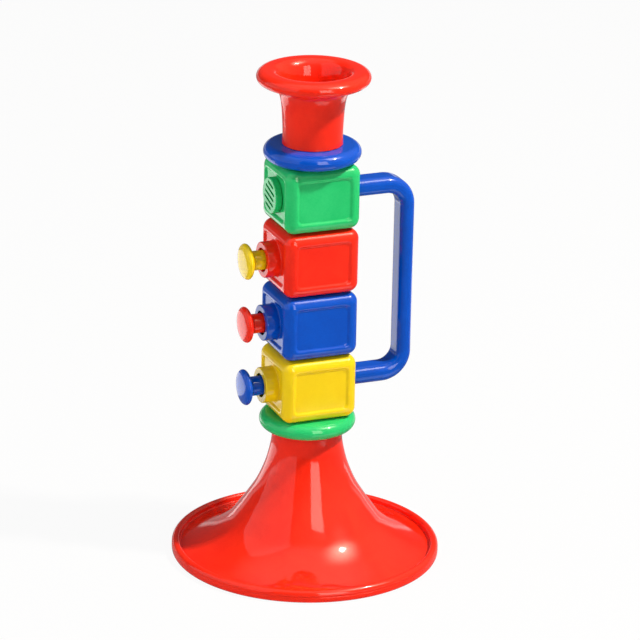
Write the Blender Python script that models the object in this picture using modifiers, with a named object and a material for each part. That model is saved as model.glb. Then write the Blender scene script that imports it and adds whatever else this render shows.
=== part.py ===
"""Toy trumpet of moulded plastic, standing on its bell.

Metres, +Z up. The origin is on the floor under the bell's centre. The plungers point along -X
and the handle stands on the +X side. From the floor up: bell, lower ring, yellow, blue, red and
green blocks, upper ring, mouthpiece.
"""
import math

import bmesh
import bpy
from mathutils import Matrix, Vector

# Fits and cuts
FIT_GAP = 0.0003                 # clear space between pieces that touch
CUT_OVERRUN = 0.001              # how far a cutter runs past what it cuts
MERGE_DISTANCE = 0.00001

# Steps round a turned piece
BELL_STEPS = 44
RING_STEPS = 32
MOUTH_STEPS = 32
ROUND_STEPS = 20
SMALL_STEPS = 12

# Air way down the middle of the stack
SPIGOT_RADIUS = 0.0100
SPIGOT_WALL = 0.0020
SPIGOT_REACH = 0.0015            # how far a spigot stands out past the wall it goes through

# Bell
BELL_RADIUS = 0.0717
BELL_HEIGHT = 0.0718
BELL_NECK_RADIUS = 0.0185
BELL_WALL = 0.0022
BELL_TRAY_LEVEL = 0.0036         # height of the shallow tray inside the lip
BELL_LIP_HEIGHT = 0.0069
BELL_LIP_WIDTH = 0.0042
BELL_LIP_INNER_ROUND = 0.0014
BELL_LIP_OUTER_ROUND = 0.0020
BELL_FOOT_ROUND = 0.0019         # the lip turns in by this down to the flat foot
BELL_TOP_ROUND = 0.0008
BELL_GROOVE_DEPTH = 0.0004       # the line round the outside of the lip
BELL_FLARE_SHARES = (            # height above the tray, way out from the neck to the lip
    (1.0, 0.0), (0.881, 0.012), (0.728, 0.059), (0.619, 0.113), (0.515, 0.180), (0.406, 0.275),
    (0.297, 0.380), (0.208, 0.478), (0.124, 0.617), (0.056, 0.779), (0.016, 0.901), (0.0, 1.0))

# Rings above and below the blocks
RING_RADIUS = 0.0257
RING_THICKNESS = 0.0085
RING_CORE_INNER = 0.0130         # the groove that cores out the underside
RING_CORE_OUTER = 0.0180
RING_CORE_DEPTH = 0.0060

# Blocks
BLOCK_LENGTH = 0.0418            # along X
BLOCK_WIDTH = 0.0392             # along Y
BLOCK_HEIGHT = 0.0349
BLOCK_ROUND = 0.0056
BLOCK_WALL = 0.0022
BLOCK_INNER_ROUND = 0.0020
PANEL_SIDE_MARGIN = 0.0070       # from the block's side to the sunk panel's flat floor
PANEL_TOP_MARGIN = 0.0068
PANEL_DEPTH = 0.0010
PANEL_SLOPE = 0.0026             # width of the sloped wall round the floor
PANEL_CORNER = 0.0018
OPENING_MARGIN = 0.0070          # from the block's side to its opening underneath
OPENING_CORNER = 0.0020

# Boss that guides a plunger
BOSS_RADIUS = 0.0096
BOSS_LENGTH = 0.0064             # past the face of the block
BOSS_EDGE = 0.0006
COUNTERBORE_RADIUS = 0.0064
COUNTERBORE_DEPTH = 0.0040

# Plungers
TRAVEL = 0.0050
STEM_RADIUS = 0.0052
CAP_RADIUS = 0.0096
CAP_THICKNESS = 0.0059
CAP_SHARES = (                   # way from the cap's front to its back, share of its radius
    (0.0, 0.60), (0.03, 0.76), (0.12, 0.88), (0.25, 0.965), (0.40, 1.0), (0.55, 0.97),
    (0.66, 0.89), (0.75, 0.76), (0.88, 0.62))
PIN_RADIUS = 0.0032              # snap pin at the inner end of the stem
RETAINER_RADIUS = 0.0088
RETAINER_THICKNESS = 0.0014
HUB_RADIUS = 0.0046              # carries the end of the spring
HUB_LENGTH = 0.0017
SEAL_RADIUS = 0.0084
SEAL_THICKNESS = 0.0012

# Return springs
SPRING_RADIUS = 0.0054           # to the middle of the wire
SPRING_WIRE = 0.0007
SPRING_PITCH = 0.0019            # least rise of one curl at rest; as many curls as fit
SPRING_POINTS = 8                # points in one curl
SPRING_LEAST_GAP = 0.0004

# Base plates
BASE_THICKNESS = 0.0030
SEAT_PLACE = 0.0053              # the spring's seat, out from the middle of the block
SEAT_THICKNESS = 0.0020
SEAT_WIDTH = 0.0140
SEAT_RISE = 0.0055               # above the plunger's axis
GUIDE_LENGTH = 0.0010
BASE_FLOOR = 0.0018              # what is left over the spigot's bore

# Reeds
REED_PLATE_LENGTH = 0.0170
REED_PLATE_WIDTH = 0.0120
REED_PLATE_THICKNESS = 0.0020
REED_WIDTH = 0.0038
REED_THICKNESS = 0.0003
REED_MARGIN = 0.0010             # from the plate's end to its slot
REED_SLOT_LENGTH = 0.0095
RIVET_RADIUS = 0.0009
RIVET_HEAD_RADIUS = 0.0018
RIVET_HEAD_HEIGHT = 0.0008

# Grille on the green block
GRILLE_RADIUS = 0.0096
GRILLE_STAND = 0.0028            # past the face of the block
GRILLE_FACE = 0.0014
GRILLE_EDGE = 0.0005
GRILLE_SPIGOT_RADIUS = 0.0080
GRILLE_WALL = 0.0014
SLOT_COUNT = 5
SLOT_PITCH = 0.0032
SLOT_WIDTH = 0.0015
SLOT_FIELD_RADIUS = 0.0082       # the slots end on this circle
SLOT_TURN = math.radians(15)     # the cover sits turned by this

# Handle
HANDLE_WIDTH = 0.0140            # along Y
ARM_THICKNESS = 0.0093
GRIP_THICKNESS = 0.0080
HANDLE_EDGE = 0.0030
HANDLE_REACH = 0.0570            # from the stack's axis to the handle's outer face
OUTER_BEND = 0.0162
INNER_BEND = 0.0078
HANDLE_PLUG = 0.0062             # how far an arm goes into a block
BEND_POINTS = 7

# Mouthpiece
MOUTH_HEIGHT = 0.0395            # above the upper ring
MOUTH_RADIUS = 0.0299
LIP_HALF_HEIGHT = 0.0037
LIP_CREST_RADIUS = 0.0252        # the lip's flat top runs in from here
LIP_INNER_CREST = 0.0228
NECK_RADIUS = 0.0158
NECK_WALL = 0.0022
MOUTH_FLOOR = 0.0025             # thickness of the bowl's floor
BLOW_HOLE_RADIUS = 0.0018
NECK_OUTER_SHARES = (            # height up to the lip, way out from the neck to the crest
    (0.96, 0.62), (0.91, 0.40), (0.85, 0.265), (0.77, 0.165), (0.61, 0.08), (0.40, 0.03),
    (0.15, 0.0), (0.0, 0.02))
BOWL_SHARES = (                  # height up to the crest, way out from the bore to the crest
    (0.15, 0.0), (0.32, 0.01), (0.47, 0.045), (0.60, 0.10), (0.71, 0.175), (0.80, 0.26),
    (0.876, 0.37), (0.934, 0.50), (0.972, 0.65), (0.994, 0.83), (1.0, 1.0))

# Places worked out from the sizes above
HOLE_RADIUS = SPIGOT_RADIUS + FIT_GAP
LOWER_RING_LEVEL = BELL_HEIGHT + FIT_GAP
FIRST_BLOCK_LEVEL = LOWER_RING_LEVEL + RING_THICKNESS + FIT_GAP
BLOCK_PITCH = BLOCK_HEIGHT + FIT_GAP
BLOCK_ORDER = ("yellow", "blue", "red", "green")
BLOCK_LEVELS = {name: FIRST_BLOCK_LEVEL + place * BLOCK_PITCH for place, name in enumerate(BLOCK_ORDER)}
UPPER_RING_LEVEL = FIRST_BLOCK_LEVEL + len(BLOCK_ORDER) * BLOCK_PITCH
MOUTH_LEVEL = UPPER_RING_LEVEL + RING_THICKNESS + FIT_GAP
PLUNGER_IN_BLOCK = {"red": "yellow", "blue": "red", "yellow": "blue"}
HANDLE_BLOCKS = ("green", "yellow")
BORE_RADIUS = STEM_RADIUS + FIT_GAP
INNER_WALL = PANEL_DEPTH + BLOCK_WALL          # from the block's face to the inside of its wall
BOSS_FRONT = BLOCK_LENGTH / 2 + BOSS_LENGTH
CAP_BACK = BOSS_FRONT + TRAVEL + FIT_GAP
CAP_FRONT = CAP_BACK + CAP_THICKNESS
SEAL_FRONT = BLOCK_LENGTH / 2 - INNER_WALL - FIT_GAP
SEAL_BACK = SEAL_FRONT - SEAL_THICKNESS
RETAINER_FRONT = SEAL_BACK - FIT_GAP
RETAINER_BACK = RETAINER_FRONT - RETAINER_THICKNESS
SPRING_FRONT = RETAINER_BACK - FIT_GAP
SPRING_BACK = SEAT_PLACE + FIT_GAP
SPRING_CURLS = int((SPRING_FRONT - SPRING_BACK - SPRING_WIRE) / SPRING_PITCH)

# Colour, roughness and metallic value of each finish
FINISHES = {
    "red": ((0.86, 0.035, 0.02), 0.18, 0.0),
    "green": ((0.03, 0.52, 0.17), 0.18, 0.0),
    "blue": ((0.01, 0.08, 0.52), 0.18, 0.0),
    "yellow": ((0.85, 0.60, 0.01), 0.18, 0.0),
    "cream": ((0.72, 0.68, 0.56), 0.4, 0.0),
    "brass": ((0.80, 0.58, 0.24), 0.25, 1.0),
    "steel": ((0.62, 0.63, 0.65), 0.28, 1.0),
    "rubber": ((0.03, 0.03, 0.03), 0.7, 0.0),
}


def clear_scene():
    """Empties the file of its starting objects."""
    for thing in list(bpy.data.objects):
        bpy.data.objects.remove(thing)


def new_collection(name):
    """A collection linked to the scene."""
    group = bpy.data.collections.new(name)
    bpy.context.scene.collection.children.link(group)
    return group


def new_material(name, finish):
    """A plain material of one of the finishes."""
    colour, roughness, metallic = FINISHES[finish]
    material = bpy.data.materials.new(name)
    material.use_nodes = True
    shader = material.node_tree.nodes["Principled BSDF"]
    shader.inputs["Base Color"].default_value = (*colour, 1)
    shader.inputs["Roughness"].default_value = roughness
    shader.inputs["Metallic"].default_value = metallic
    material.diffuse_color = (*colour, 1)
    return material


def place(name, data, finish, location, rotation):
    """An object in the trumpet's collection, or among the cutters where it has no finish."""
    thing = bpy.data.objects.new(name, data)
    thing.location = location
    thing.rotation_euler = rotation
    if finish:
        TRUMPET.objects.link(thing)
        data.materials.append(new_material(name, finish))
    else:
        CUTTERS.objects.link(thing)
        thing.hide_render = True
        thing.display_type = "WIRE"
    return thing


def along_x(level):
    """Location and rotation of a piece whose own +Z points out of a plunger boss."""
    return (0, 0, level), (0, -math.pi / 2, 0)


def turned(name, outline, steps, finish=None, location=(0, 0, 0), rotation=(0, 0, 0)):
    """A turned piece. Its outline of (radius, height) runs down the outer side and is closed
    back to its start, unless both of its ends lie on the axis."""
    mesh = bpy.data.meshes.new(name)
    edges = [(i, i + 1) for i in range(len(outline) - 1)]
    if outline[0][0] > 0:
        edges.append((len(outline) - 1, 0))
    mesh.from_pydata([(radius, 0, height) for radius, height in outline], edges, [])
    thing = place(name, mesh, finish, location, rotation)
    screw = thing.modifiers.new("Screw", "SCREW")
    screw.steps = steps
    screw.render_steps = steps
    screw.use_merge_vertices = True
    screw.merge_threshold = MERGE_DISTANCE
    screw.use_smooth_shade = True
    return thing


def box_mesh(name, size, corner, segments):
    """A box centred on its origin, with its upright edges rounded by corner."""
    mesh = bpy.data.meshes.new(name)
    shape = bmesh.new()
    bmesh.ops.create_cube(shape, size=1)
    bmesh.ops.scale(shape, vec=Vector(size), verts=shape.verts)
    if corner > 0:
        upright = [e for e in shape.edges if abs(e.verts[0].co.z - e.verts[1].co.z) > size[2] / 2]
        bmesh.ops.bevel(shape, geom=upright, offset=corner, segments=segments, profile=0.5,
                        affect="EDGES", clamp_overlap=True)
    shape.to_mesh(mesh)
    shape.free()
    return mesh


def box(name, size, centre, finish=None, corner=0, segments=2, rotation=(0, 0, 0)):
    """A box object, a cutter where it has no finish."""
    return place(name, box_mesh(name, size, corner, segments), finish, centre, rotation)


def cylinder(name, radius, bottom, top, steps, centre=(0, 0)):
    """An upright round cutter or stud between two heights."""
    mesh = bpy.data.meshes.new(name)
    shape = bmesh.new()
    bmesh.ops.create_cone(shape, cap_ends=True, segments=steps, radius1=radius, radius2=radius,
                          depth=top - bottom)
    shape.to_mesh(mesh)
    shape.free()
    return place(name, mesh, None, (*centre, (bottom + top) / 2), (0, 0, 0))


def cylinder_along_x(name, radius, inner, outer, level, steps):
    """A cutter along X between two distances out from the stack's axis, on the plungers' side."""
    thing = cylinder(name, radius, inner, outer, steps)
    thing.location, thing.rotation_euler = (-(inner + outer) / 2, 0, level), (0, -math.pi / 2, 0)
    return thing


def combine(thing, operation, *tools):
    """Adds one Boolean for each tool."""
    for tool in tools:
        modifier = thing.modifiers.new(tool.name, "BOOLEAN")
        modifier.operation = operation
        modifier.solver = "EXACT"
        modifier.object = tool


def rounded(thing, width, segments):
    """Rounds every edge of an object whose scale is applied."""
    bevel = thing.modifiers.new("Round", "BEVEL")
    bevel.width = width
    bevel.segments = segments
    bevel.limit_method = "ANGLE"


def arc(centre, width, height, start, end, count):
    """Points of an ellipse round centre, its angles in degrees, from start to end."""
    angles = [math.radians(start + (end - start) * i / (count - 1)) for i in range(count)]
    return [(centre[0] + width * math.cos(a), centre[1] + height * math.sin(a)) for a in angles]


def shifted_line(points, distance):
    """The line moved sideways by distance, to the right of its direction."""
    moved = []
    for i, point in enumerate(points):
        before = Vector(points[max(i - 1, 0)])
        after = Vector(points[min(i + 1, len(points) - 1)])
        way = (after - before).normalized()
        moved.append((point[0] + way.y * distance, point[1] - way.x * distance))
    return moved


def bell_outline():
    """Down the flare, round the upstanding lip, and up inside the wall to the closed top."""
    lip_inside = BELL_RADIUS - BELL_LIP_WIDTH
    drop = BELL_HEIGHT - BELL_TRAY_LEVEL
    reach = lip_inside - BELL_NECK_RADIUS
    flare = [(BELL_NECK_RADIUS + reach * out, BELL_TRAY_LEVEL + drop * up)
             for up, out in BELL_FLARE_SHARES]
    inner, outer = BELL_LIP_INNER_ROUND, BELL_LIP_OUTER_ROUND
    lip_level = BELL_LIP_HEIGHT - outer
    crest = arc((lip_inside + inner, BELL_LIP_HEIGHT - inner), inner, inner, 180, 90, 3)
    crest += arc((BELL_RADIUS - outer, lip_level), outer, outer, 90, 0, 4)
    groove = BELL_RADIUS - BELL_GROOVE_DEPTH
    band = [(groove, lip_level - BELL_GROOVE_DEPTH), (groove, lip_level - 2 * BELL_GROOVE_DEPTH),
            (BELL_RADIUS, lip_level - 3 * BELL_GROOVE_DEPTH)]
    foot = arc((BELL_RADIUS - BELL_FOOT_ROUND, BELL_FOOT_ROUND), BELL_FOOT_ROUND, BELL_FOOT_ROUND, 0, -90, 4)
    foot += [(lip_inside, 0), (lip_inside, BELL_TRAY_LEVEL - BELL_WALL)]
    inside = shifted_line(flare, BELL_WALL)[-2:1:-1]
    inner_top = BELL_HEIGHT - BELL_WALL
    top = [(BELL_NECK_RADIUS - BELL_WALL, inner_top), (HOLE_RADIUS, inner_top),
           (HOLE_RADIUS, BELL_HEIGHT), (BELL_NECK_RADIUS - BELL_TOP_ROUND, BELL_HEIGHT),
           (BELL_NECK_RADIUS, BELL_HEIGHT - BELL_TOP_ROUND)]
    return flare[1:] + crest + band + foot + inside + top


def ring_outline():
    """A ring with a full round edge, cored out from below."""
    half = RING_THICKNESS / 2
    edge = arc((RING_RADIUS - half, half), half, half, 90, -90, 8)
    return edge + [(RING_CORE_OUTER, 0), (RING_CORE_OUTER, RING_CORE_DEPTH),
                   (RING_CORE_INNER, RING_CORE_DEPTH), (RING_CORE_INNER, 0),
                   (HOLE_RADIUS, 0), (HOLE_RADIUS, RING_THICKNESS)]


def mouth_outline():
    """Round the fat lip, down the neck and spigot, up the bore and blow hole, and up the bowl."""
    lip_middle = MOUTH_HEIGHT - LIP_HALF_HEIGHT
    lip_bottom = lip_middle - LIP_HALF_HEIGHT
    lip = arc((LIP_CREST_RADIUS, lip_middle), MOUTH_RADIUS - LIP_CREST_RADIUS, LIP_HALF_HEIGHT, 90, -90, 8)
    neck = [(NECK_RADIUS + (LIP_CREST_RADIUS - NECK_RADIUS) * out, lip_bottom * up)
            for up, out in NECK_OUTER_SHARES]
    bore = SPIGOT_RADIUS - SPIGOT_WALL
    depth = -(RING_THICKNESS + 2 * FIT_GAP + BLOCK_WALL + SPIGOT_REACH)
    spigot = [(SPIGOT_RADIUS, 0), (SPIGOT_RADIUS, depth), (bore, depth), (bore, 0)]
    floor = [(BLOW_HOLE_RADIUS, 0), (BLOW_HOLE_RADIUS, MOUTH_FLOOR)]
    tube = NECK_RADIUS - NECK_WALL
    bowl = [(tube + (LIP_INNER_CREST - tube) * out, MOUTH_HEIGHT * up) for up, out in BOWL_SHARES]
    return lip + neck + spigot + floor + [(tube, MOUTH_FLOOR)] + bowl


def panel_cutter(name, level, turn):
    """Cuts the sunk panel into the side that faces -Y before the turn about Z."""
    across = abs(math.sin(turn)) > 0.5
    wide, deep = (BLOCK_WIDTH, BLOCK_LENGTH) if across else (BLOCK_LENGTH, BLOCK_WIDTH)
    floor_size = Vector((wide - 2 * PANEL_SIDE_MARGIN, BLOCK_HEIGHT - 2 * PANEL_TOP_MARGIN))
    mouth_size = floor_size + Vector((2 * PANEL_SLOPE, 2 * PANEL_SLOPE))
    height = PANEL_DEPTH + CUT_OVERRUN
    mesh = box_mesh(name, (*mouth_size, height), PANEL_CORNER + PANEL_SLOPE, segments=3)
    shape = bmesh.new()
    shape.from_mesh(mesh)
    face_plane = height / 2 - CUT_OVERRUN
    bmesh.ops.bisect_plane(shape, geom=shape.verts[:] + shape.edges[:] + shape.faces[:],
                           plane_co=(0, 0, face_plane), plane_no=(0, 0, 1))
    floor_points = [v for v in shape.verts if v.co.z < -height / 4]
    shrink = (floor_size.x / mouth_size.x, floor_size.y / mouth_size.y, 1)
    bmesh.ops.scale(shape, vec=shrink, verts=floor_points)
    shape.to_mesh(mesh)
    shape.free()
    cutter = place(name, mesh, None, (0, 0, 0), (0, 0, 0))
    upright = Matrix.Rotation(math.pi / 2, 4, "X")
    out = Matrix.Translation((0, -(deep / 2 - face_plane), level))
    cutter.matrix_world = Matrix.Rotation(turn, 4, "Z") @ out @ upright
    return cutter


def boss(name, level):
    """The round boss on the block's -X face, before it is bored."""
    inner = BLOCK_LENGTH / 2 - PANEL_DEPTH - BLOCK_WALL / 2
    outline = [(0, BOSS_FRONT), (BOSS_RADIUS - BOSS_EDGE, BOSS_FRONT),
               (BOSS_RADIUS, BOSS_FRONT - BOSS_EDGE), (BOSS_RADIUS, inner), (0, inner)]
    return turned(name, outline, ROUND_STEPS, None, *along_x(level))


def boss_bore(name, level):
    """Bores the boss: a wide counterbore in front and the stem's guide behind it."""
    inner = BLOCK_LENGTH / 2 - INNER_WALL - CUT_OVERRUN
    step = BOSS_FRONT - COUNTERBORE_DEPTH
    outline = [(0, BOSS_FRONT + CUT_OVERRUN), (COUNTERBORE_RADIUS, BOSS_FRONT + CUT_OVERRUN),
               (COUNTERBORE_RADIUS, step), (BORE_RADIUS, step), (BORE_RADIUS, inner), (0, inner)]
    return turned(name, outline, ROUND_STEPS, None, *along_x(level))


def handle_socket(name, level):
    """Cuts the hole in the block's +X face that takes an end of the handle."""
    depth = INNER_WALL + 2 * CUT_OVERRUN
    size = (ARM_THICKNESS + 2 * FIT_GAP, HANDLE_WIDTH + 2 * FIT_GAP, depth)
    centre = (BLOCK_LENGTH / 2 - INNER_WALL / 2, 0, level)
    return box(name, size, centre, corner=HANDLE_EDGE, segments=3, rotation=(0, math.pi / 2, 0))


def block_shell(colour):
    """The hollow block: four sunk panels, a hole above, an opening below, and its boss."""
    bottom = BLOCK_LEVELS[colour]
    middle = bottom + BLOCK_HEIGHT / 2
    top = bottom + BLOCK_HEIGHT
    name = colour + "_block"
    shell = box(name, (BLOCK_LENGTH, BLOCK_WIDTH, BLOCK_HEIGHT), (0, 0, middle), colour)
    rounded(shell, BLOCK_ROUND, 3)
    panels = [panel_cutter(f"{name}_panel_{side}", middle, side * math.pi / 2) for side in range(4)]
    room_size = (BLOCK_LENGTH - 2 * INNER_WALL, BLOCK_WIDTH - 2 * INNER_WALL, BLOCK_HEIGHT - 2 * BLOCK_WALL)
    room = box(name + "_room", room_size, (0, 0, middle))
    rounded(room, BLOCK_INNER_ROUND, 2)
    opening_size = (BLOCK_LENGTH - 2 * OPENING_MARGIN, BLOCK_WIDTH - 2 * OPENING_MARGIN,
                    BLOCK_WALL + 2 * CUT_OVERRUN)
    opening = box(name + "_opening", opening_size, (0, 0, bottom + BLOCK_WALL / 2), corner=OPENING_CORNER)
    hole_bottom = top - BLOCK_WALL - CUT_OVERRUN
    hole = cylinder(name + "_hole", HOLE_RADIUS, hole_bottom, top + CUT_OVERRUN, ROUND_STEPS)
    combine(shell, "DIFFERENCE", *panels, room, opening, hole)
    if colour in PLUNGER_IN_BLOCK:
        combine(shell, "UNION", boss(name + "_boss", middle))
        combine(shell, "DIFFERENCE", boss_bore(name + "_bore", middle))
    else:
        combine(shell, "DIFFERENCE", grille_hole(name + "_grille_hole", middle))
    if colour in HANDLE_BLOCKS:
        combine(shell, "DIFFERENCE", handle_socket(name + "_socket", middle))
    return shell


def grille_hole(name, level):
    """Cuts the hole in the green block's face that the grille plugs into."""
    inner = BLOCK_LENGTH / 2 - INNER_WALL - CUT_OVERRUN
    outer = BLOCK_LENGTH / 2 + CUT_OVERRUN
    return cylinder_along_x(name, GRILLE_SPIGOT_RADIUS + FIT_GAP, inner, outer, level, ROUND_STEPS)


def base_plate(colour):
    """Closes a block underneath. Its spigot plugs into what stands below, and in a block with
    a plunger it also carries the spring's seat."""
    bottom = BLOCK_LEVELS[colour]
    name = colour + "_base_plate"
    size = (BLOCK_LENGTH - 2 * (OPENING_MARGIN + FIT_GAP), BLOCK_WIDTH - 2 * (OPENING_MARGIN + FIT_GAP),
            BASE_THICKNESS)
    plate = box(name, size, (0, 0, bottom + BASE_THICKNESS / 2), colour, OPENING_CORNER)
    if colour == BLOCK_ORDER[0]:
        below = RING_THICKNESS + 2 * FIT_GAP + BELL_WALL
    else:
        below = FIT_GAP + BLOCK_WALL
    floor = bottom + BASE_THICKNESS - BASE_FLOOR
    foot = bottom - below - SPIGOT_REACH
    bore_radius = SPIGOT_RADIUS - SPIGOT_WALL
    spigot = cylinder(name + "_spigot", SPIGOT_RADIUS, foot, floor, ROUND_STEPS)
    combine(plate, "UNION", spigot)
    if colour in PLUNGER_IN_BLOCK:
        combine(plate, "UNION", *spring_seat(name, bottom))
    bore = cylinder(name + "_bore", bore_radius, foot - CUT_OVERRUN, floor, ROUND_STEPS)
    slot_size = (REED_SLOT_LENGTH, REED_WIDTH + 2 * FIT_GAP, BASE_FLOOR + 2 * CUT_OVERRUN)
    slot = box(name + "_slot", slot_size, (reed_slot_middle(), 0, bottom + BASE_THICKNESS - BASE_FLOOR / 2))
    combine(plate, "DIFFERENCE", bore, slot)
    return plate


def spring_seat(name, bottom):
    """The upright rib behind a return spring, and the short pin that centres the spring."""
    axis = bottom + BLOCK_HEIGHT / 2
    low = bottom + BASE_THICKNESS - CUT_OVERRUN
    high = axis + SEAT_RISE
    rib = box(name + "_rib", (SEAT_THICKNESS, SEAT_WIDTH, high - low),
              (-(SEAT_PLACE - SEAT_THICKNESS / 2), 0, (low + high) / 2))
    guide = cylinder_along_x(name + "_guide", HUB_RADIUS, SEAT_PLACE - SEAT_THICKNESS / 2,
                             SEAT_PLACE + GUIDE_LENGTH, axis, ROUND_STEPS)
    return rib, guide


def reed_plate_start():
    """The end of the reed plate that lies against the spring's seat."""
    return -(SEAT_PLACE - SEAT_THICKNESS) + FIT_GAP


def reed_slot_middle():
    """The middle of the slot that the reed speaks through, along X."""
    return reed_plate_start() + REED_MARGIN + REED_SLOT_LENGTH / 2


def rivet_place():
    """Where the rivet holds the reed, along X."""
    slot_end = reed_plate_start() + REED_MARGIN + REED_SLOT_LENGTH
    plate_end = reed_plate_start() + REED_PLATE_LENGTH
    return (slot_end + plate_end) / 2


def reed_set(colour):
    """The reed plate over a base plate's slot, the brass reed on it, and the reed's rivet."""
    plate_bottom = BLOCK_LEVELS[colour] + BASE_THICKNESS + FIT_GAP
    plate_top = plate_bottom + REED_PLATE_THICKNESS
    reed_bottom = plate_top + FIT_GAP
    reed_top = reed_bottom + REED_THICKNESS
    plate = box(colour + "_reed_plate", (REED_PLATE_LENGTH, REED_PLATE_WIDTH, REED_PLATE_THICKNESS),
                (reed_plate_start() + REED_PLATE_LENGTH / 2, 0, (plate_bottom + plate_top) / 2), "cream")
    slot = box(colour + "_reed_slot",
               (REED_SLOT_LENGTH, REED_WIDTH + 2 * FIT_GAP, REED_PLATE_THICKNESS + 2 * CUT_OVERRUN),
               (reed_slot_middle(), 0, (plate_bottom + plate_top) / 2))
    tip = reed_plate_start() + REED_MARGIN + FIT_GAP
    root = rivet_place() + RIVET_HEAD_RADIUS
    reed = box(colour + "_reed", (root - tip, REED_WIDTH, REED_THICKNESS),
               ((tip + root) / 2, 0, (reed_bottom + reed_top) / 2), "brass")
    hole = cylinder(colour + "_rivet_hole", RIVET_RADIUS + FIT_GAP, plate_bottom - CUT_OVERRUN,
                    reed_top + CUT_OVERRUN, SMALL_STEPS, (rivet_place(), 0))
    combine(plate, "DIFFERENCE", slot, hole)
    combine(reed, "DIFFERENCE", hole)
    head_bottom = reed_top + FIT_GAP
    head = arc((0, head_bottom), RIVET_HEAD_RADIUS, RIVET_HEAD_HEIGHT, 90, 0, 4)
    shank = [(RIVET_RADIUS, head_bottom), (RIVET_RADIUS, plate_bottom), (0, plate_bottom)]
    turned(colour + "_reed_rivet", [(0, head[0][1])] + head[1:] + shank, SMALL_STEPS, "brass",
           (rivet_place(), 0, 0))


def plunger(block, colour):
    """The plunger with its cap outside and its snap pin inside, and what it carries."""
    axis = BLOCK_LEVELS[block] + BLOCK_HEIGHT / 2
    name = colour + "_plunger"
    cap = [(CAP_RADIUS * out, CAP_FRONT - CAP_THICKNESS * back) for back, out in CAP_SHARES]
    pin_end = RETAINER_BACK - HUB_LENGTH
    stem = [(STEM_RADIUS, CAP_BACK), (STEM_RADIUS, SEAL_BACK), (PIN_RADIUS, SEAL_BACK),
            (PIN_RADIUS, pin_end), (0, pin_end)]
    turned(name, [(0, CAP_FRONT)] + cap + stem, ROUND_STEPS, colour, *along_x(axis))
    seal = [(SEAL_RADIUS, SEAL_FRONT), (SEAL_RADIUS, SEAL_BACK), (BORE_RADIUS, SEAL_BACK),
            (BORE_RADIUS, SEAL_FRONT)]
    turned(name + "_seal", seal, ROUND_STEPS, "rubber", *along_x(axis))
    hole = PIN_RADIUS + FIT_GAP
    retainer = [(RETAINER_RADIUS, RETAINER_FRONT), (RETAINER_RADIUS, RETAINER_BACK),
                (HUB_RADIUS, RETAINER_BACK), (HUB_RADIUS, RETAINER_BACK - HUB_LENGTH),
                (hole, RETAINER_BACK - HUB_LENGTH), (hole, RETAINER_FRONT)]
    turned(name + "_retainer", retainer, ROUND_STEPS, "cream", *along_x(axis))
    return_spring(name + "_spring", axis)


def tube(name, points, radius, resolution, finish):
    """A round wire along the points, its ends filled."""
    curve = bpy.data.curves.new(name, "CURVE")
    curve.dimensions = "3D"
    curve.bevel_depth = radius
    curve.bevel_resolution = resolution
    curve.use_fill_caps = True
    line = curve.splines.new("POLY")
    line.points.add(len(points) - 1)
    for knot, point in zip(line.points, points):
        knot.co = (*point, 1)
    return place(name, curve, finish, (0, 0, 0), (0, 0, 0))


def return_spring(name, axis):
    """A coil from the retainer back to its seat. Its least gap to itself is printed."""
    wire = SPRING_WIRE / 2
    front, back = SPRING_FRONT - wire, SPRING_BACK + wire
    count = SPRING_CURLS * SPRING_POINTS
    points = []
    for i in range(count + 1):
        angle = 2 * math.pi * i / SPRING_POINTS
        along = front + (back - front) * i / count
        points.append((-along, SPRING_RADIUS * math.cos(angle), axis + SPRING_RADIUS * math.sin(angle)))
    gaps = [math.dist(a, b) for i, a in enumerate(points) for b in points[i + SPRING_POINTS // 2:]]
    least = min(gaps) - SPRING_WIRE
    print(f"{name}: least gap between curls {least * 1000:.2f} mm")
    assert least > SPRING_LEAST_GAP
    return tube(name, points, wire, 1, "steel")


def grille():
    """The round slotted cover that plugs into the green block where the others have a boss."""
    level = BLOCK_LEVELS["green"] + BLOCK_HEIGHT / 2
    front = BLOCK_LENGTH / 2 + GRILLE_STAND
    shoulder = BLOCK_LENGTH / 2 - PANEL_DEPTH + FIT_GAP
    inner = BLOCK_LENGTH / 2 - INNER_WALL
    bore = GRILLE_SPIGOT_RADIUS - GRILLE_WALL
    outline = [(0, front), (GRILLE_RADIUS - GRILLE_EDGE, front), (GRILLE_RADIUS, front - GRILLE_EDGE),
               (GRILLE_RADIUS, shoulder), (GRILLE_SPIGOT_RADIUS, shoulder), (GRILLE_SPIGOT_RADIUS, inner),
               (bore, inner), (bore, front - GRILLE_FACE), (0, front - GRILLE_FACE)]
    cover = turned("grille", outline, ROUND_STEPS, "green", *along_x(level))
    for i in range(SLOT_COUNT):
        offset = (i - (SLOT_COUNT - 1) / 2) * SLOT_PITCH
        length = 2 * math.sqrt(SLOT_FIELD_RADIUS ** 2 - (abs(offset) + SLOT_WIDTH / 2) ** 2)
        length = min(length, 2 * (bore - FIT_GAP))
        size = (GRILLE_FACE + 2 * CUT_OVERRUN, length, SLOT_WIDTH)
        across, up = -offset * math.sin(SLOT_TURN), offset * math.cos(SLOT_TURN)
        centre = (-(front - GRILLE_FACE / 2), across, level + up)
        slot = box(f"grille_slot_{i}", size, centre, rotation=(SLOT_TURN, 0, 0))
        combine(cover, "DIFFERENCE", slot)
    return cover


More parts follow.
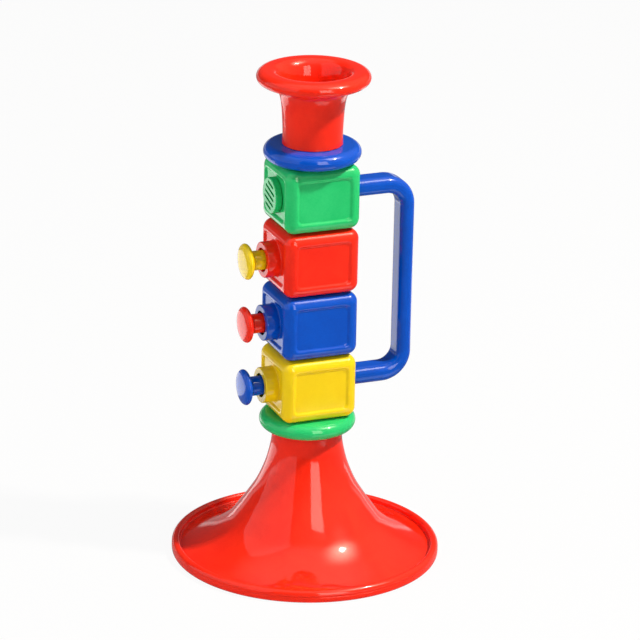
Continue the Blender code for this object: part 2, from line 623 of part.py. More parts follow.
def handle_outline():
    """The handle seen from its side: out along the upper arm, down the grip, back, and inside."""
    high, low = (BLOCK_LEVELS[name] + BLOCK_HEIGHT / 2 for name in HANDLE_BLOCKS)
    top, bottom = high + ARM_THICKNESS / 2, low - ARM_THICKNESS / 2
    inner_top, inner_bottom = high - ARM_THICKNESS / 2, low + ARM_THICKNESS / 2
    start = BLOCK_LENGTH / 2 - HANDLE_PLUG
    outer = HANDLE_REACH - OUTER_BEND
    inner = HANDLE_REACH - GRIP_THICKNESS - INNER_BEND
    line = [(start, top)]
    line += arc((outer, top - OUTER_BEND), OUTER_BEND, OUTER_BEND, 90, 0, BEND_POINTS)
    line += arc((outer, bottom + OUTER_BEND), OUTER_BEND, OUTER_BEND, 0, -90, BEND_POINTS)
    line += [(start, bottom), (start, inner_bottom)]
    line += arc((inner, inner_bottom + INNER_BEND), INNER_BEND, INNER_BEND, -90, 0, BEND_POINTS)
    line += arc((inner, inner_top - INNER_BEND), INNER_BEND, INNER_BEND, 0, 90, BEND_POINTS)
    return line + [(start, inner_top)]


def handle():
    """The flat U-shaped bar from the green block down to the yellow one."""
    curve = bpy.data.curves.new("handle", "CURVE")
    curve.dimensions = "2D"
    curve.fill_mode = "BOTH"
    curve.extrude = HANDLE_WIDTH / 2
    outline = handle_outline()
    line = curve.splines.new("POLY")
    line.points.add(len(outline) - 1)
    for knot, (x, z) in zip(line.points, outline):
        knot.co = (x, z, 0, 1)
    line.use_cyclic_u = True
    bar = place("handle", curve, "blue", (0, 0, 0), (math.pi / 2, 0, 0))
    weld = bar.modifiers.new("Weld", "WELD")
    weld.merge_threshold = MERGE_DISTANCE
    flat_sides = bar.modifiers.new("Flat sides", "DECIMATE")
    flat_sides.decimate_type = "DISSOLVE"
    flat_sides.angle_limit = math.radians(1)
    rounded(bar, HANDLE_EDGE, 3)
    return bar


def build():
    """Makes every piece of the trumpet."""
    turned("bell", bell_outline(), BELL_STEPS, "red")
    turned("lower_ring", ring_outline(), RING_STEPS, "green", (0, 0, LOWER_RING_LEVEL))
    turned("upper_ring", ring_outline(), RING_STEPS, "blue", (0, 0, UPPER_RING_LEVEL))
    turned("mouthpiece", mouth_outline(), MOUTH_STEPS, "red", (0, 0, MOUTH_LEVEL))
    for colour in BLOCK_ORDER:
        block_shell(colour)
        base_plate(colour)
        reed_set(colour)
    for block, colour in PLUNGER_IN_BLOCK.items():
        plunger(block, colour)
    grille()
    handle()


clear_scene()
TRUMPET = new_collection("toy_trumpet")
CUTTERS = new_collection("cutters")
build()
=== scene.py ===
"""Looks of a toy trumpet of moulded plastic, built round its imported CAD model.

Metres, +Z up. The trumpet stands on its bell over the origin. Its plungers point along -X and its
handle stands on the +X side. Sizes repeat those of the CAD model, with finer rounds and curves.
"""
import logging
import math
from collections.abc import Mapping, Sequence
from dataclasses import dataclass, field
from enum import Enum

import bmesh
import bpy
from mathutils import Matrix, Vector


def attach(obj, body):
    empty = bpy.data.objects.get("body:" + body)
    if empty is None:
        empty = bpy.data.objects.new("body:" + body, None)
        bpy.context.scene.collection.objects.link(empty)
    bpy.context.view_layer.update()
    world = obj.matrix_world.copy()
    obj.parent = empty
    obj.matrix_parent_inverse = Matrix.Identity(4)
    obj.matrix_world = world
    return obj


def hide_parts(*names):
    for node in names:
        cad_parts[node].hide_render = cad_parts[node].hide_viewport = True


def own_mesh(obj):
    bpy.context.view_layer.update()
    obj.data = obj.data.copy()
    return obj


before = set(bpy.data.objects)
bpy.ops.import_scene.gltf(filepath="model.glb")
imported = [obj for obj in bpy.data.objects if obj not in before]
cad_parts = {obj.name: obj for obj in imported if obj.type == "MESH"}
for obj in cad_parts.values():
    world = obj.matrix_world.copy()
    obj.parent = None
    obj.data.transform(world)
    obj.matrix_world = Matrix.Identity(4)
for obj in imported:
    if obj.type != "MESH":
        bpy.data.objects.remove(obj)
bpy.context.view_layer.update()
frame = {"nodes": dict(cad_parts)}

LOG = logging.getLogger("toy_trumpet")
MM = 0.001
BODY = "trumpet"
WHITE = "#FFFFFF"
TURNED_CREASE = 40.0         # an edge of a turned piece that turns by more degrees stays sharp
ROUNDED_CREASE = 32.0        # the same on the blocks and the handle
WIRE_CREASE = 60.0           # on the springs
INNER_CREASE = 35.0          # and on the CAD shapes that stay
FLAT_WEIGHT = 80             # how far large faces set the shading where they meet a round; 50 is even
ON_AXIS = 1e-9               # metres from its axis within which a turned point lies on it
SPOTS_PER_METRE = 1e7        # how finely places are told apart where the sides of a box share points

Point = tuple[float, float]
Span = tuple[float, float]
Triple = tuple[float, float, float]
Loop = list[bmesh.types.BMVert]


class Colour(Enum):
    """The four colours of the toy."""
    RED = "red"
    GREEN = "green"
    BLUE = "blue"
    YELLOW = "yellow"


class Side(Enum):
    """A side of a block, with the direction that it faces."""
    LEFT = (-1, 0, 0)
    RIGHT = (1, 0, 0)
    FRONT = (0, -1, 0)
    BACK = (0, 1, 0)
    TOP = (0, 0, 1)
    BOTTOM = (0, 0, -1)


# ---------------------------------------------------------------- finishes

def linear(hex_colour: str) -> tuple[float, float, float, float]:
    """Turns an sRGB hex colour to linear light.

    Args:
        hex_colour: six hex digits after a hash sign.

    Returns:
        Red, green and blue in linear light, and an alpha of 1.
    """
    shares = [int(hex_colour[i:i + 2], 16) / 255 for i in (1, 3, 5)]
    lit = [s / 12.92 if s <= 0.04045 else ((s + 0.055) / 1.055) ** 2.4 for s in shares]
    return (*lit, 1.0)


def per_metre(size_mm: float) -> float:
    """The texture scale at which one feature of the pattern is size_mm across."""
    return 1 / (size_mm * MM)


def add_node(tree: bpy.types.NodeTree, kind: str, inputs: Mapping[str | int, object] | None = None,
             **settings: object) -> bpy.types.Node:
    """Adds a node with its settings and links.

    Args:
        tree: the node tree that it goes into.
        kind: the node's type name.
        inputs: what its input sockets get: a value that is set, a socket that is linked, or a node
            whose first output is linked.
        settings: its own attributes.

    Returns:
        The new node.
    """
    node = tree.nodes.new(kind)
    for name, value in settings.items():
        setattr(node, name, value)
    for name, value in (inputs or {}).items():
        source = value.outputs[0] if isinstance(value, bpy.types.Node) else value
        if isinstance(source, bpy.types.NodeSocket):
            tree.links.new(source, node.inputs[name])
        else:
            node.inputs[name].default_value = source
    return node


def blank_material(name: str) -> tuple[bpy.types.Material, bpy.types.NodeTree, bpy.types.Node]:
    """A material with only its shader and output.

    Args:
        name: what the material is called.

    Returns:
        The material, its node tree and its shader.
    """
    material = bpy.data.materials.new(name)
    material.use_nodes = True
    tree = material.node_tree
    return material, tree, tree.nodes["Principled BSDF"]


@dataclass(frozen=True)
class MouldedAbs:
    """Glossy ABS, injection moulded in a polished tool.

    The polished tool leaves a clear gloss with sharp lights. The melt leaves a faint mottle of
    tone where it flowed and a low ripple that bends the reflections, and handling leaves small
    dull patches and hair-fine scuffs.
    """
    name: str
    colour: str
    deep: str                    # the tone of the thicker pigment between the flow marks
    roughness: float = 0.075
    roughness_span: float = 0.04
    ior: float = 1.53
    gloss: float = 0.24          # the share of the gloss that a used, rubbed skin keeps
    flow_mm: float = 17.0
    flow_share: float = 0.62     # how much of the deep tone the flow marks bring
    pigment_mm: float = 0.9      # real pigment is finer; drawn as coarse as shows
    pigment_share: float = 0.22
    pigment_depth_mm: float = 0.0006
    ripple_mm: float = 3.6
    ripple_depth_mm: float = 0.010
    patch_mm: float = 10.2       # the size of the patches that handling dulls
    scuff_mm: float = 0.55       # the width of a scuff, drawn as coarse as shows
    scuff_stretch: float = 14.0
    scuff_turn: Triple = (0.4, 0.9, 0.5)
    scuff_roughness: float = 0.10

    def material(self) -> bpy.types.Material:
        """Builds the material.

        Returns:
            The material.
        """
        material, tree, shader = blank_material(self.name)
        shader.inputs["IOR"].default_value = self.ior
        shader.inputs["Specular IOR Level"].default_value = self.gloss
        place = add_node(tree, "ShaderNodeTexCoord").outputs["Object"]
        flow = add_node(tree, "ShaderNodeTexNoise", {
            "Vector": place, "Scale": per_metre(self.flow_mm), "Detail": 3.0, "Roughness": 0.55,
            "Distortion": 0.7})
        pigment = add_node(tree, "ShaderNodeTexNoise", {
            "Vector": place, "Scale": per_metre(self.pigment_mm), "Detail": 2.0})
        tone = add_node(tree, "ShaderNodeMapRange", {
            "Value": flow, "From Min": 0.32, "From Max": 0.70, "To Max": self.flow_share})
        grain = add_node(tree, "ShaderNodeMapRange", {
            "Value": pigment, "From Min": 0.35, "From Max": 0.65, "To Max": self.pigment_share})
        depth = add_node(tree, "ShaderNodeMath", {0: tone, 1: grain}, operation="ADD")
        colour = add_node(tree, "ShaderNodeMix", {0: depth, 6: linear(self.colour), 7: linear(self.deep)},
                          data_type="RGBA")
        tree.links.new(colour.outputs[2], shader.inputs["Base Color"])

        stretched = add_node(tree, "ShaderNodeMapping", {
            "Vector": place, "Rotation": self.scuff_turn, "Scale": (1.0, 1.0, 1 / self.scuff_stretch)})
        scuffs = add_node(tree, "ShaderNodeTexNoise", {
            "Vector": stretched, "Scale": per_metre(self.scuff_mm), "Detail": 1.0})
        scuff = add_node(tree, "ShaderNodeMapRange", {
            "Value": scuffs, "From Min": 0.66, "From Max": 0.78, "To Max": self.scuff_roughness})
        patches = add_node(tree, "ShaderNodeTexNoise", {
            "Vector": place, "Scale": per_metre(self.patch_mm), "Detail": 4.0, "Roughness": 0.6})
        half_span = self.roughness_span / 2
        dull = add_node(tree, "ShaderNodeMapRange", {
            "Value": patches, "From Min": 0.3, "From Max": 0.7, "To Min": self.roughness - half_span,
            "To Max": self.roughness + half_span})
        rough = add_node(tree, "ShaderNodeMath", {0: dull, 1: scuff}, operation="ADD")
        tree.links.new(rough.outputs[0], shader.inputs["Roughness"])

        ripple = add_node(tree, "ShaderNodeTexNoise", {
            "Vector": place, "Scale": per_metre(self.ripple_mm), "Detail": 1.0})
        swell = add_node(tree, "ShaderNodeBump", {
            "Height": ripple, "Strength": 1.0, "Distance": self.ripple_depth_mm * MM})
        skin = add_node(tree, "ShaderNodeBump", {
            "Height": pigment, "Strength": 1.0, "Distance": self.pigment_depth_mm * MM, "Normal": swell})
        tree.links.new(skin.outputs[0], shader.inputs["Normal"])
        return material


@dataclass(frozen=True)
class GrainedFinish:
    """A finish whose look is a grain, drawn out along one direction where the making drew it out.

    Rolling and drawing leave fine lines in metal; moulding leaves an even grain in acetal and rubber.
    """
    name: str
    colour: str
    deep: str
    roughness: float
    grain_mm: float
    stretch: Triple = (1.0, 1.0, 1.0)
    metallic: float = 0.0
    ior: float = 1.5
    grain_depth_mm: float = 0.004
    patch_grains: float = 12.0   # how many grains wide the patches of its tone are
    roughness_span: float = 0.1

    def material(self) -> bpy.types.Material:
        """Builds the material.

        Returns:
            The material.
        """
        material, tree, shader = blank_material(self.name)
        shader.inputs["Metallic"].default_value = self.metallic
        shader.inputs["IOR"].default_value = self.ior
        place = add_node(tree, "ShaderNodeTexCoord").outputs["Object"]
        drawn = add_node(tree, "ShaderNodeMapping", {"Vector": place, "Scale": self.stretch})
        grain = add_node(tree, "ShaderNodeTexNoise", {
            "Vector": drawn, "Scale": per_metre(self.grain_mm), "Detail": 3.0, "Roughness": 0.6})
        patches = add_node(tree, "ShaderNodeTexNoise", {
            "Vector": place, "Scale": per_metre(self.grain_mm * self.patch_grains), "Detail": 2.0})
        depth = add_node(tree, "ShaderNodeMath", {0: grain, 1: patches}, operation="MULTIPLY")
        tone = add_node(tree, "ShaderNodeMapRange", {"Value": depth, "From Min": 0.1, "From Max": 0.42})
        colour = add_node(tree, "ShaderNodeMix", {0: tone, 6: linear(self.colour), 7: linear(self.deep)},
                          data_type="RGBA")
        tree.links.new(colour.outputs[2], shader.inputs["Base Color"])
        half_span = self.roughness_span / 2
        rough = add_node(tree, "ShaderNodeMapRange", {
            "Value": grain, "From Min": 0.3, "From Max": 0.7, "To Min": self.roughness - half_span,
            "To Max": self.roughness + half_span})
        tree.links.new(rough.outputs[0], shader.inputs["Roughness"])
        bump = add_node(tree, "ShaderNodeBump", {
            "Height": grain, "Strength": 1.0, "Distance": self.grain_depth_mm * MM})
        tree.links.new(bump.outputs[0], shader.inputs["Normal"])
        return material


Finish = MouldedAbs | GrainedFinish


PLASTICS = {
    Colour.RED: MouldedAbs("red_moulded_abs", "#F42C13", "#E7200C"),
    Colour.GREEN: MouldedAbs("green_moulded_abs", "#2CC470", "#17B662"),
    Colour.BLUE: MouldedAbs("blue_moulded_abs", "#0051C2", "#0046B0"),
    Colour.YELLOW: MouldedAbs("yellow_moulded_abs", "#F0D014", "#E8C40A"),
}
# Natural acetal moulds to a waxy, slightly uneven cream.
ACETAL = GrainedFinish("natural_moulded_acetal", "#E6DFC8", "#D6CCAF", 0.38, 0.8, ior=1.48)
# Rolled sheet shows fine lines along the reed and a little tarnish.
BRASS = GrainedFinish("rolled_brass_sheet", "#D9B45E", "#B98E3C", 0.26, 0.25, (0.06, 1.0, 1.0), 1.0)
# Drawn wire keeps the die's lines along its length, too fine to follow, so they show as streaks.
WIRE = GrainedFinish("drawn_spring_steel_wire", "#C3C6CA", "#9DA1A7", 0.24, 0.3, (1.0, 0.35, 0.35), 1.0)
# Moulded rubber is dull and black with a fine even grain.
RUBBER = GrainedFinish("moulded_nitrile_rubber", "#2A2A2B", "#1B1B1C", 0.72, 0.35, ior=1.52,
                       grain_depth_mm=0.01)


# ---------------------------------------------------------------- shapes

def arc(centre: Point, radius: float, start: float, end: float, count: int,
        height: float | None = None) -> list[Point]:
    """Points of a circle or an ellipse.

    Args:
        centre: its middle.
        radius: its radius; an ellipse's half width.
        start: the first point's angle in degrees.
        end: the last point's angle in degrees.
        count: how many points.
        height: an ellipse's half height.

    Returns:
        The points from start to end.
    """
    high = radius if height is None else height
    angles = [math.radians(start + (end - start) * i / (count - 1)) for i in range(count)]
    return [(centre[0] + radius * math.cos(a), centre[1] + high * math.sin(a)) for a in angles]


def smooth_line(points: Sequence[Point], per_span: int = 8) -> list[Point]:
    """A smooth curve through every point.

    Args:
        points: the points that it passes.
        per_span: how many steps it takes from one point to the next.

    Returns:
        The curve's points, the first and last of which are the given ones.
    """
    knots = [Vector(p) for p in points]
    knots = [2 * knots[0] - knots[1], *knots, 2 * knots[-1] - knots[-2]]
    # The lean at each point weighs the steps beside it by the root of their length, so that the curve
    # doesn't overshoot where points lie close.
    line = []
    for before, start, end, after in zip(knots, knots[1:], knots[2:], knots[3:]):
        t0, t1, t2 = ((b - a).length ** 0.5 for a, b in ((before, start), (start, end), (end, after)))
        lean_in = (start - before) / t0 - (end - before) / (t0 + t1) + (end - start) / t1
        lean_out = (end - start) / t1 - (after - start) / (t1 + t2) + (after - end) / t2
        for i in range(per_span):
            t = i / per_span
            spot = ((2 * t ** 3 - 3 * t ** 2 + 1) * start + (t ** 3 - 2 * t ** 2 + t) * t1 * lean_in
                    + (3 * t ** 2 - 2 * t ** 3) * end + (t ** 3 - t ** 2) * t1 * lean_out)
            line.append((spot.x, spot.y))
    return line + [tuple(points[-1])]


def softened(corners: Sequence[Triple], steps: int = 5) -> list[Point]:
    """A line of corners with each corner rounded off.

    Args:
        corners: the place of each corner and the radius of its round; 0 leaves it as it is.
        steps: how many steps a round has.

    Returns:
        The rounded line.
    """
    line = []
    for i, (x, y, radius) in enumerate(corners):
        here = Vector((x, y))
        if radius <= 0 or i in (0, len(corners) - 1):
            line.append((x, y))
            continue
        back = (Vector(corners[i - 1][:2]) - here).normalized()
        ahead = (Vector(corners[i + 1][:2]) - here).normalized()
        half = back.angle(ahead) / 2
        reach = radius / math.tan(half)
        middle = here + (back + ahead).normalized() * (radius / math.sin(half))
        start, end = here + back * reach - middle, here + ahead * reach - middle
        turn = start.angle_signed(end)
        for step in range(steps + 1):
            spoke = start.copy()
            spoke.rotate(Matrix.Rotation(-turn * step / steps, 2))
            line.append(tuple(middle + spoke))
    return line


def sideways(points: Sequence[Point], distance: float) -> list[Point]:
    """Moves a line sideways.

    Args:
        points: the line.
        distance: how far it moves, to the right of its direction.

    Returns:
        The moved line.
    """
    moved = []
    for i, point in enumerate(points):
        way = (Vector(points[min(i + 1, len(points) - 1)]) - Vector(points[max(i - 1, 0)])).normalized()
        moved.append((point[0] + way.y * distance, point[1] - way.x * distance))
    return moved


def rounded_rectangle(width: float, height: float, corner: float, steps: int = 8) -> list[Point]:
    """A rectangle about the origin with round corners.

    Args:
        width: its whole width.
        height: its whole height.
        corner: the radius of its corners.
        steps: how many steps a corner has.

    Returns:
        Its points, counter-clockwise.
    """
    line = []
    for quarter, (sx, sy) in enumerate(((1, 1), (-1, 1), (-1, -1), (1, -1))):
        centre = (sx * (width / 2 - corner), sy * (height / 2 - corner))
        line += arc(centre, corner, 90 * quarter, 90 * quarter + 90, steps + 1)
    return line


def circle(radius: float, steps: int) -> list[Point]:
    """A circle about the origin, counter-clockwise."""
    return arc((0, 0), radius, 0, 360 - 360 / steps, steps)


def ring_edges(shape: bmesh.types.BMesh, loop: Loop) -> list[bmesh.types.BMEdge]:
    """The edges of a closed loop of points, made where they are missing."""
    pairs = zip(loop, loop[1:] + loop[:1])
    return [shape.edges.get(pair) or shape.edges.new(pair) for pair in pairs]


def fill_between(shape: bmesh.types.BMesh, outer: Loop, inner: Loop) -> None:
    """Fills the flat ring between two closed loops."""
    edges = ring_edges(shape, outer) + ring_edges(shape, inner)
    bmesh.ops.triangle_fill(shape, edges=edges, use_beauty=True)


def join_loops(shape: bmesh.types.BMesh, first: Loop, second: Loop) -> Loop:
    """Joins two closed loops with faces.

    Args:
        shape: what the faces go into.
        first: one loop.
        second: the other, with the same number of points.

    Returns:
        The second loop.
    """
    for i in range(len(first)):
        j = (i + 1) % len(first)
        shape.faces.new((first[i], first[j], second[j], second[i]))
    return second


def as_mesh(name: str, shape: bmesh.types.BMesh) -> bpy.types.Mesh:
    """Turns built faces into a mesh.

    Args:
        name: the mesh's name.
        shape: its faces; freed here.

    Returns:
        The mesh.
    """
    mesh = bpy.data.meshes.new(name)
    shape.to_mesh(mesh)
    shape.free()
    return mesh


def shade_smooth(mesh: bpy.types.Mesh, crease: float) -> None:
    """Shades a mesh smooth, apart from the edges that turn by more than crease, in degrees."""
    mesh.polygons.foreach_set("use_smooth", [True] * len(mesh.polygons))
    mesh.set_sharp_from_angle(angle=math.radians(crease))


def finished_mesh(name: str, shape: bmesh.types.BMesh, crease: float) -> bpy.types.Mesh:
    """Turns built faces into a smooth-shaded mesh that faces outwards.

    Args:
        name: the mesh's name.
        shape: its faces; freed here.
        crease: the angle in degrees above which an edge stays sharp.

    Returns:
        The mesh.
    """
    bmesh.ops.recalc_face_normals(shape, faces=shape.faces)
    mesh = as_mesh(name, shape)
    shade_smooth(mesh, crease)
    return mesh


def turned_shape(profile: Sequence[Point], steps: int) -> bmesh.types.BMesh:
    """Turns a profile about Z.

    Args:
        profile: (radius, height) points. It is closed back to its start unless both ends lie on
            the axis.
        steps: how many steps go round.

    Returns:
        The faces.
    """
    shape = bmesh.new()
    rings = []
    for radius, height in profile:
        if radius < ON_AXIS:
            rings.append([shape.verts.new((0, 0, height))] * steps)
        else:
            rings.append([shape.verts.new((x, y, height)) for x, y in circle(radius, steps)])
    if profile[0][0] > ON_AXIS:
        rings.append(rings[0])
    for first, second in zip(rings, rings[1:]):
        for i in range(steps):
            j = (i + 1) % steps
            corners = list(dict.fromkeys((first[i], first[j], second[j], second[i])))
            shape.faces.new(corners)
    return shape


def along_x(level: float) -> Matrix:
    """Puts a turned piece on a plunger's axis, its +Z pointing along -X."""
    return Matrix.Translation((0, 0, level)) @ Matrix.Rotation(-math.pi / 2, 4, "Y")


def linked(name: str, data: bpy.types.ID) -> bpy.types.Object:
    """Makes an object and puts it in the scene.

    Args:
        name: the object's name.
        data: its mesh, lamp or camera.

    Returns:
        The object.
    """
    made = bpy.data.objects.new(name, data)
    bpy.context.scene.collection.objects.link(made)
    return made


def dressed(finish: Finish) -> bpy.types.Material:
    """The material of a finish, built once."""
    return bpy.data.materials.get(finish.name) or finish.material()


def add_piece(mesh: bpy.types.Mesh, finish: Finish, body: str, slot: str, *replaced: str) -> bpy.types.Object:
    """Makes a piece of the scene from a finished mesh.

    Args:
        mesh: its mesh, in place.
        finish: what it is made of.
        body: the CAD body that it rides on.
        slot: the name of a material slot; not used.
        replaced: the CAD nodes that it stands for.

    Returns:
        The piece.
    """
    piece = linked(mesh.name, mesh)
    mesh.materials.append(dressed(finish))
    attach(piece, body)
    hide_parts(*replaced)
    LOG.info("%s: %d faces, %s", piece.name, len(mesh.polygons), finish.name)
    return piece


def add_moulded(node: str, shape: bmesh.types.BMesh, colour: Colour, crease: float = TURNED_CREASE,
                place: Matrix = Matrix.Identity(4), body: str = BODY) -> bpy.types.Object:
    """Makes a plastic piece that stands for a CAD node.

    Args:
        node: the node's name.
        shape: the piece's faces; freed here.
        colour: the colour of its plastic.
        crease: the angle in degrees above which an edge stays sharp.
        place: what moves it into place.
        body: the CAD body that it rides on.

    Returns:
        The piece.
    """
    mesh = finished_mesh(node + "_dressed", shape, crease)
    mesh.transform(place)
    return add_piece(mesh, PLASTICS[colour], body, colour.value + "_plastic", node)


def even_normals(piece: bpy.types.Object) -> None:
    """Keeps the flats of a piece flat beside their rounds.

    Args:
        piece: the piece.
    """
    modifier = piece.modifiers.new("Even normals", "WEIGHTED_NORMAL")
    modifier.keep_sharp = True
    modifier.weight = FLAT_WEIGHT


# ---------------------------------------------------------------- sub-assemblies

@dataclass
class Bell:
    """The red bell: a flare down to a shallow tray inside an upstanding lip."""
    radius: float = 71.7 * MM
    height: float = 71.8 * MM
    neck_radius: float = 18.5 * MM
    wall: float = 2.2 * MM
    tray_level: float = 3.6 * MM
    lip_height: float = 6.9 * MM
    lip_width: float = 4.2 * MM
    lip_inner_round: float = 1.6 * MM
    lip_outer_round: float = 2.6 * MM
    tray_round: float = 0.6 * MM
    brow_round: float = 0.8 * MM
    foot_round: float = 1.9 * MM
    groove_depth: float = 0.16 * MM
    groove_half_height: float = 0.5 * MM
    groove_drop: float = 0.65 * MM           # from the end of the lip's round to the groove's middle
    hole_radius: float = 10.3 * MM
    steps: int = 192
    flare_shares: tuple[Point, ...] = (      # height above the tray, way out from the neck to the lip
        (1.0, 0.0), (0.881, 0.012), (0.728, 0.059), (0.619, 0.113), (0.515, 0.180), (0.406, 0.275),
        (0.297, 0.380), (0.208, 0.478), (0.124, 0.617), (0.056, 0.779), (0.016, 0.901), (0.0, 0.975))
    straight_points: int = 6                 # the flare's first points, behind which the inside is straight

    def lip(self) -> list[Point]:
        """The outside from the tray's edge over the lip and its groove to the foot.

        Returns:
            Its points.
        """
        inside, inner, outer = self.radius - self.lip_width, self.lip_inner_round, self.lip_outer_round
        level = self.lip_height - outer
        tray, foot = self.tray_round, self.foot_round
        return (arc((inside - tray, self.tray_level + tray), tray, -80, 0, 6)
                + arc((inside + inner, self.lip_height - inner), inner, 180, 90, 9)
                + arc((self.radius - outer, level), outer, 90, 0, 12)
                + arc((self.radius, level - self.groove_drop), self.groove_depth, 90, 270, 11,
                      self.groove_half_height)
                + arc((self.radius - foot, foot), foot, 0, -90, 9))

    def profile(self) -> list[Point]:
        """Down the flare, round the lip, and up inside the wall to the closed top.

        Returns:
            Its points.
        """
        lip_inside = self.radius - self.lip_width
        drop, reach = self.height - self.tray_level, lip_inside - self.neck_radius
        flare = smooth_line([(self.neck_radius + reach * out, self.tray_level + drop * up)
                             for up, out in self.flare_shares])
        under = [(lip_inside, 0), (lip_inside, self.tray_level - self.wall)]
        under += sideways(flare, self.wall)[-2:self.straight_points:-1]
        inner_top, brow = self.height - self.wall, self.brow_round
        top = [(self.neck_radius - self.wall, inner_top), (self.hole_radius, inner_top),
               (self.hole_radius, self.height)]
        top += arc((self.neck_radius - brow, self.height - brow), brow, 90, 0, 6)
        return flare[1:] + self.lip() + under + top

    def build(self) -> None:
        """Makes the bell."""
        add_moulded("bell", turned_shape(self.profile(), self.steps), Colour.RED)


@dataclass
class Ring:
    """A ring with a full round edge, cored out from below."""
    node: str
    colour: Colour
    level: float
    radius: float = 25.7 * MM
    thickness: float = 8.5 * MM
    core_inner: float = 13.0 * MM
    core_outer: float = 18.0 * MM
    core_depth: float = 6.0 * MM
    core_round: float = 0.6 * MM
    mouth_round: float = 0.3 * MM
    hole_radius: float = 10.3 * MM
    edge_points: int = 29
    steps: int = 144

    def build(self) -> None:
        """Makes the ring."""
        half, core, mouth = self.thickness / 2, self.core_round, self.mouth_round
        edge = arc((self.radius - half, half), half, 90, -90, self.edge_points)
        inside = softened([
            (*edge[-1], 0), (self.core_outer, 0, mouth), (self.core_outer, self.core_depth, core),
            (self.core_inner, self.core_depth, core), (self.core_inner, 0, mouth),
            (self.hole_radius, 0, mouth), (self.hole_radius, self.thickness, mouth), (*edge[0], 0)])
        even_normals(add_moulded(self.node, turned_shape(edge + inside[1:-1], self.steps), self.colour,
                                 place=Matrix.Translation((0, 0, self.level))))


@dataclass
class Mouthpiece:
    """The red cup with its fat lip, and the blow hole in its floor."""
    level: float = 230.5 * MM
    height: float = 39.5 * MM
    radius: float = 29.9 * MM
    lip_half_height: float = 3.7 * MM
    crest_radius: float = 25.2 * MM
    inner_crest: float = 22.8 * MM
    neck_radius: float = 15.8 * MM
    wall: float = 2.2 * MM
    floor: float = 2.5 * MM
    blow_hole: float = 1.8 * MM
    spigot_radius: float = 10.0 * MM
    spigot_bore: float = 8.0 * MM
    spigot_depth: float = 12.8 * MM
    edge_round: float = 0.4 * MM
    mouth_round: float = 0.3 * MM
    bowl_round: float = 1.2 * MM
    steps: int = 160
    lip_points: int = 30
    lip_end: float = -82.0                   # degrees, where the lip's round goes over into the neck
    span_steps: int = 5
    neck_shares: tuple[Point, ...] = (       # height up to the lip, way out from the neck to the crest
        (1.0, 0.84), (0.96, 0.62), (0.91, 0.40), (0.85, 0.265), (0.77, 0.165), (0.61, 0.08), (0.40, 0.03),
        (0.15, 0.0), (0.0, 0.02))
    bowl_shares: tuple[Point, ...] = (       # height up to the crest, way out from the bore to the crest
        (0.15, 0.0), (0.32, 0.01), (0.47, 0.045), (0.60, 0.10), (0.71, 0.175), (0.80, 0.26),
        (0.876, 0.37), (0.934, 0.50), (0.972, 0.65), (0.994, 0.83), (1.0, 1.0))

    def profile(self) -> list[Point]:
        """Round the lip, down the neck and spigot, up the bore and blow hole, and up the bowl.

        Returns:
            Its points.
        """
        middle = self.height - self.lip_half_height
        bottom = middle - self.lip_half_height
        lip = arc((self.crest_radius, middle), self.radius - self.crest_radius, 90, self.lip_end,
                  self.lip_points, self.lip_half_height)
        neck = smooth_line([(self.neck_radius + (self.crest_radius - self.neck_radius) * out, bottom * up)
                            for up, out in self.neck_shares], self.span_steps)
        tube = self.neck_radius - self.wall
        end, edge, mouth = -self.spigot_depth, self.edge_round, self.mouth_round
        spigot = softened([
            (*neck[-1], 0), (self.spigot_radius, 0, mouth), (self.spigot_radius, end, edge),
            (self.spigot_bore, end, edge), (self.spigot_bore, 0, edge), (self.blow_hole, 0, mouth),
            (self.blow_hole, self.floor, edge), (tube, self.floor, self.bowl_round),
            (tube, self.height * self.bowl_shares[0][0], 0)])
        bowl = smooth_line([(tube + (self.inner_crest - tube) * out, self.height * up)
                            for up, out in self.bowl_shares], self.span_steps)
        return lip + neck + spigot[1:-1] + bowl

    def build(self) -> None:
        """Makes the mouthpiece."""
        even_normals(add_moulded("mouthpiece", turned_shape(self.profile(), self.steps), Colour.RED,
                                 place=Matrix.Translation((0, 0, self.level))))


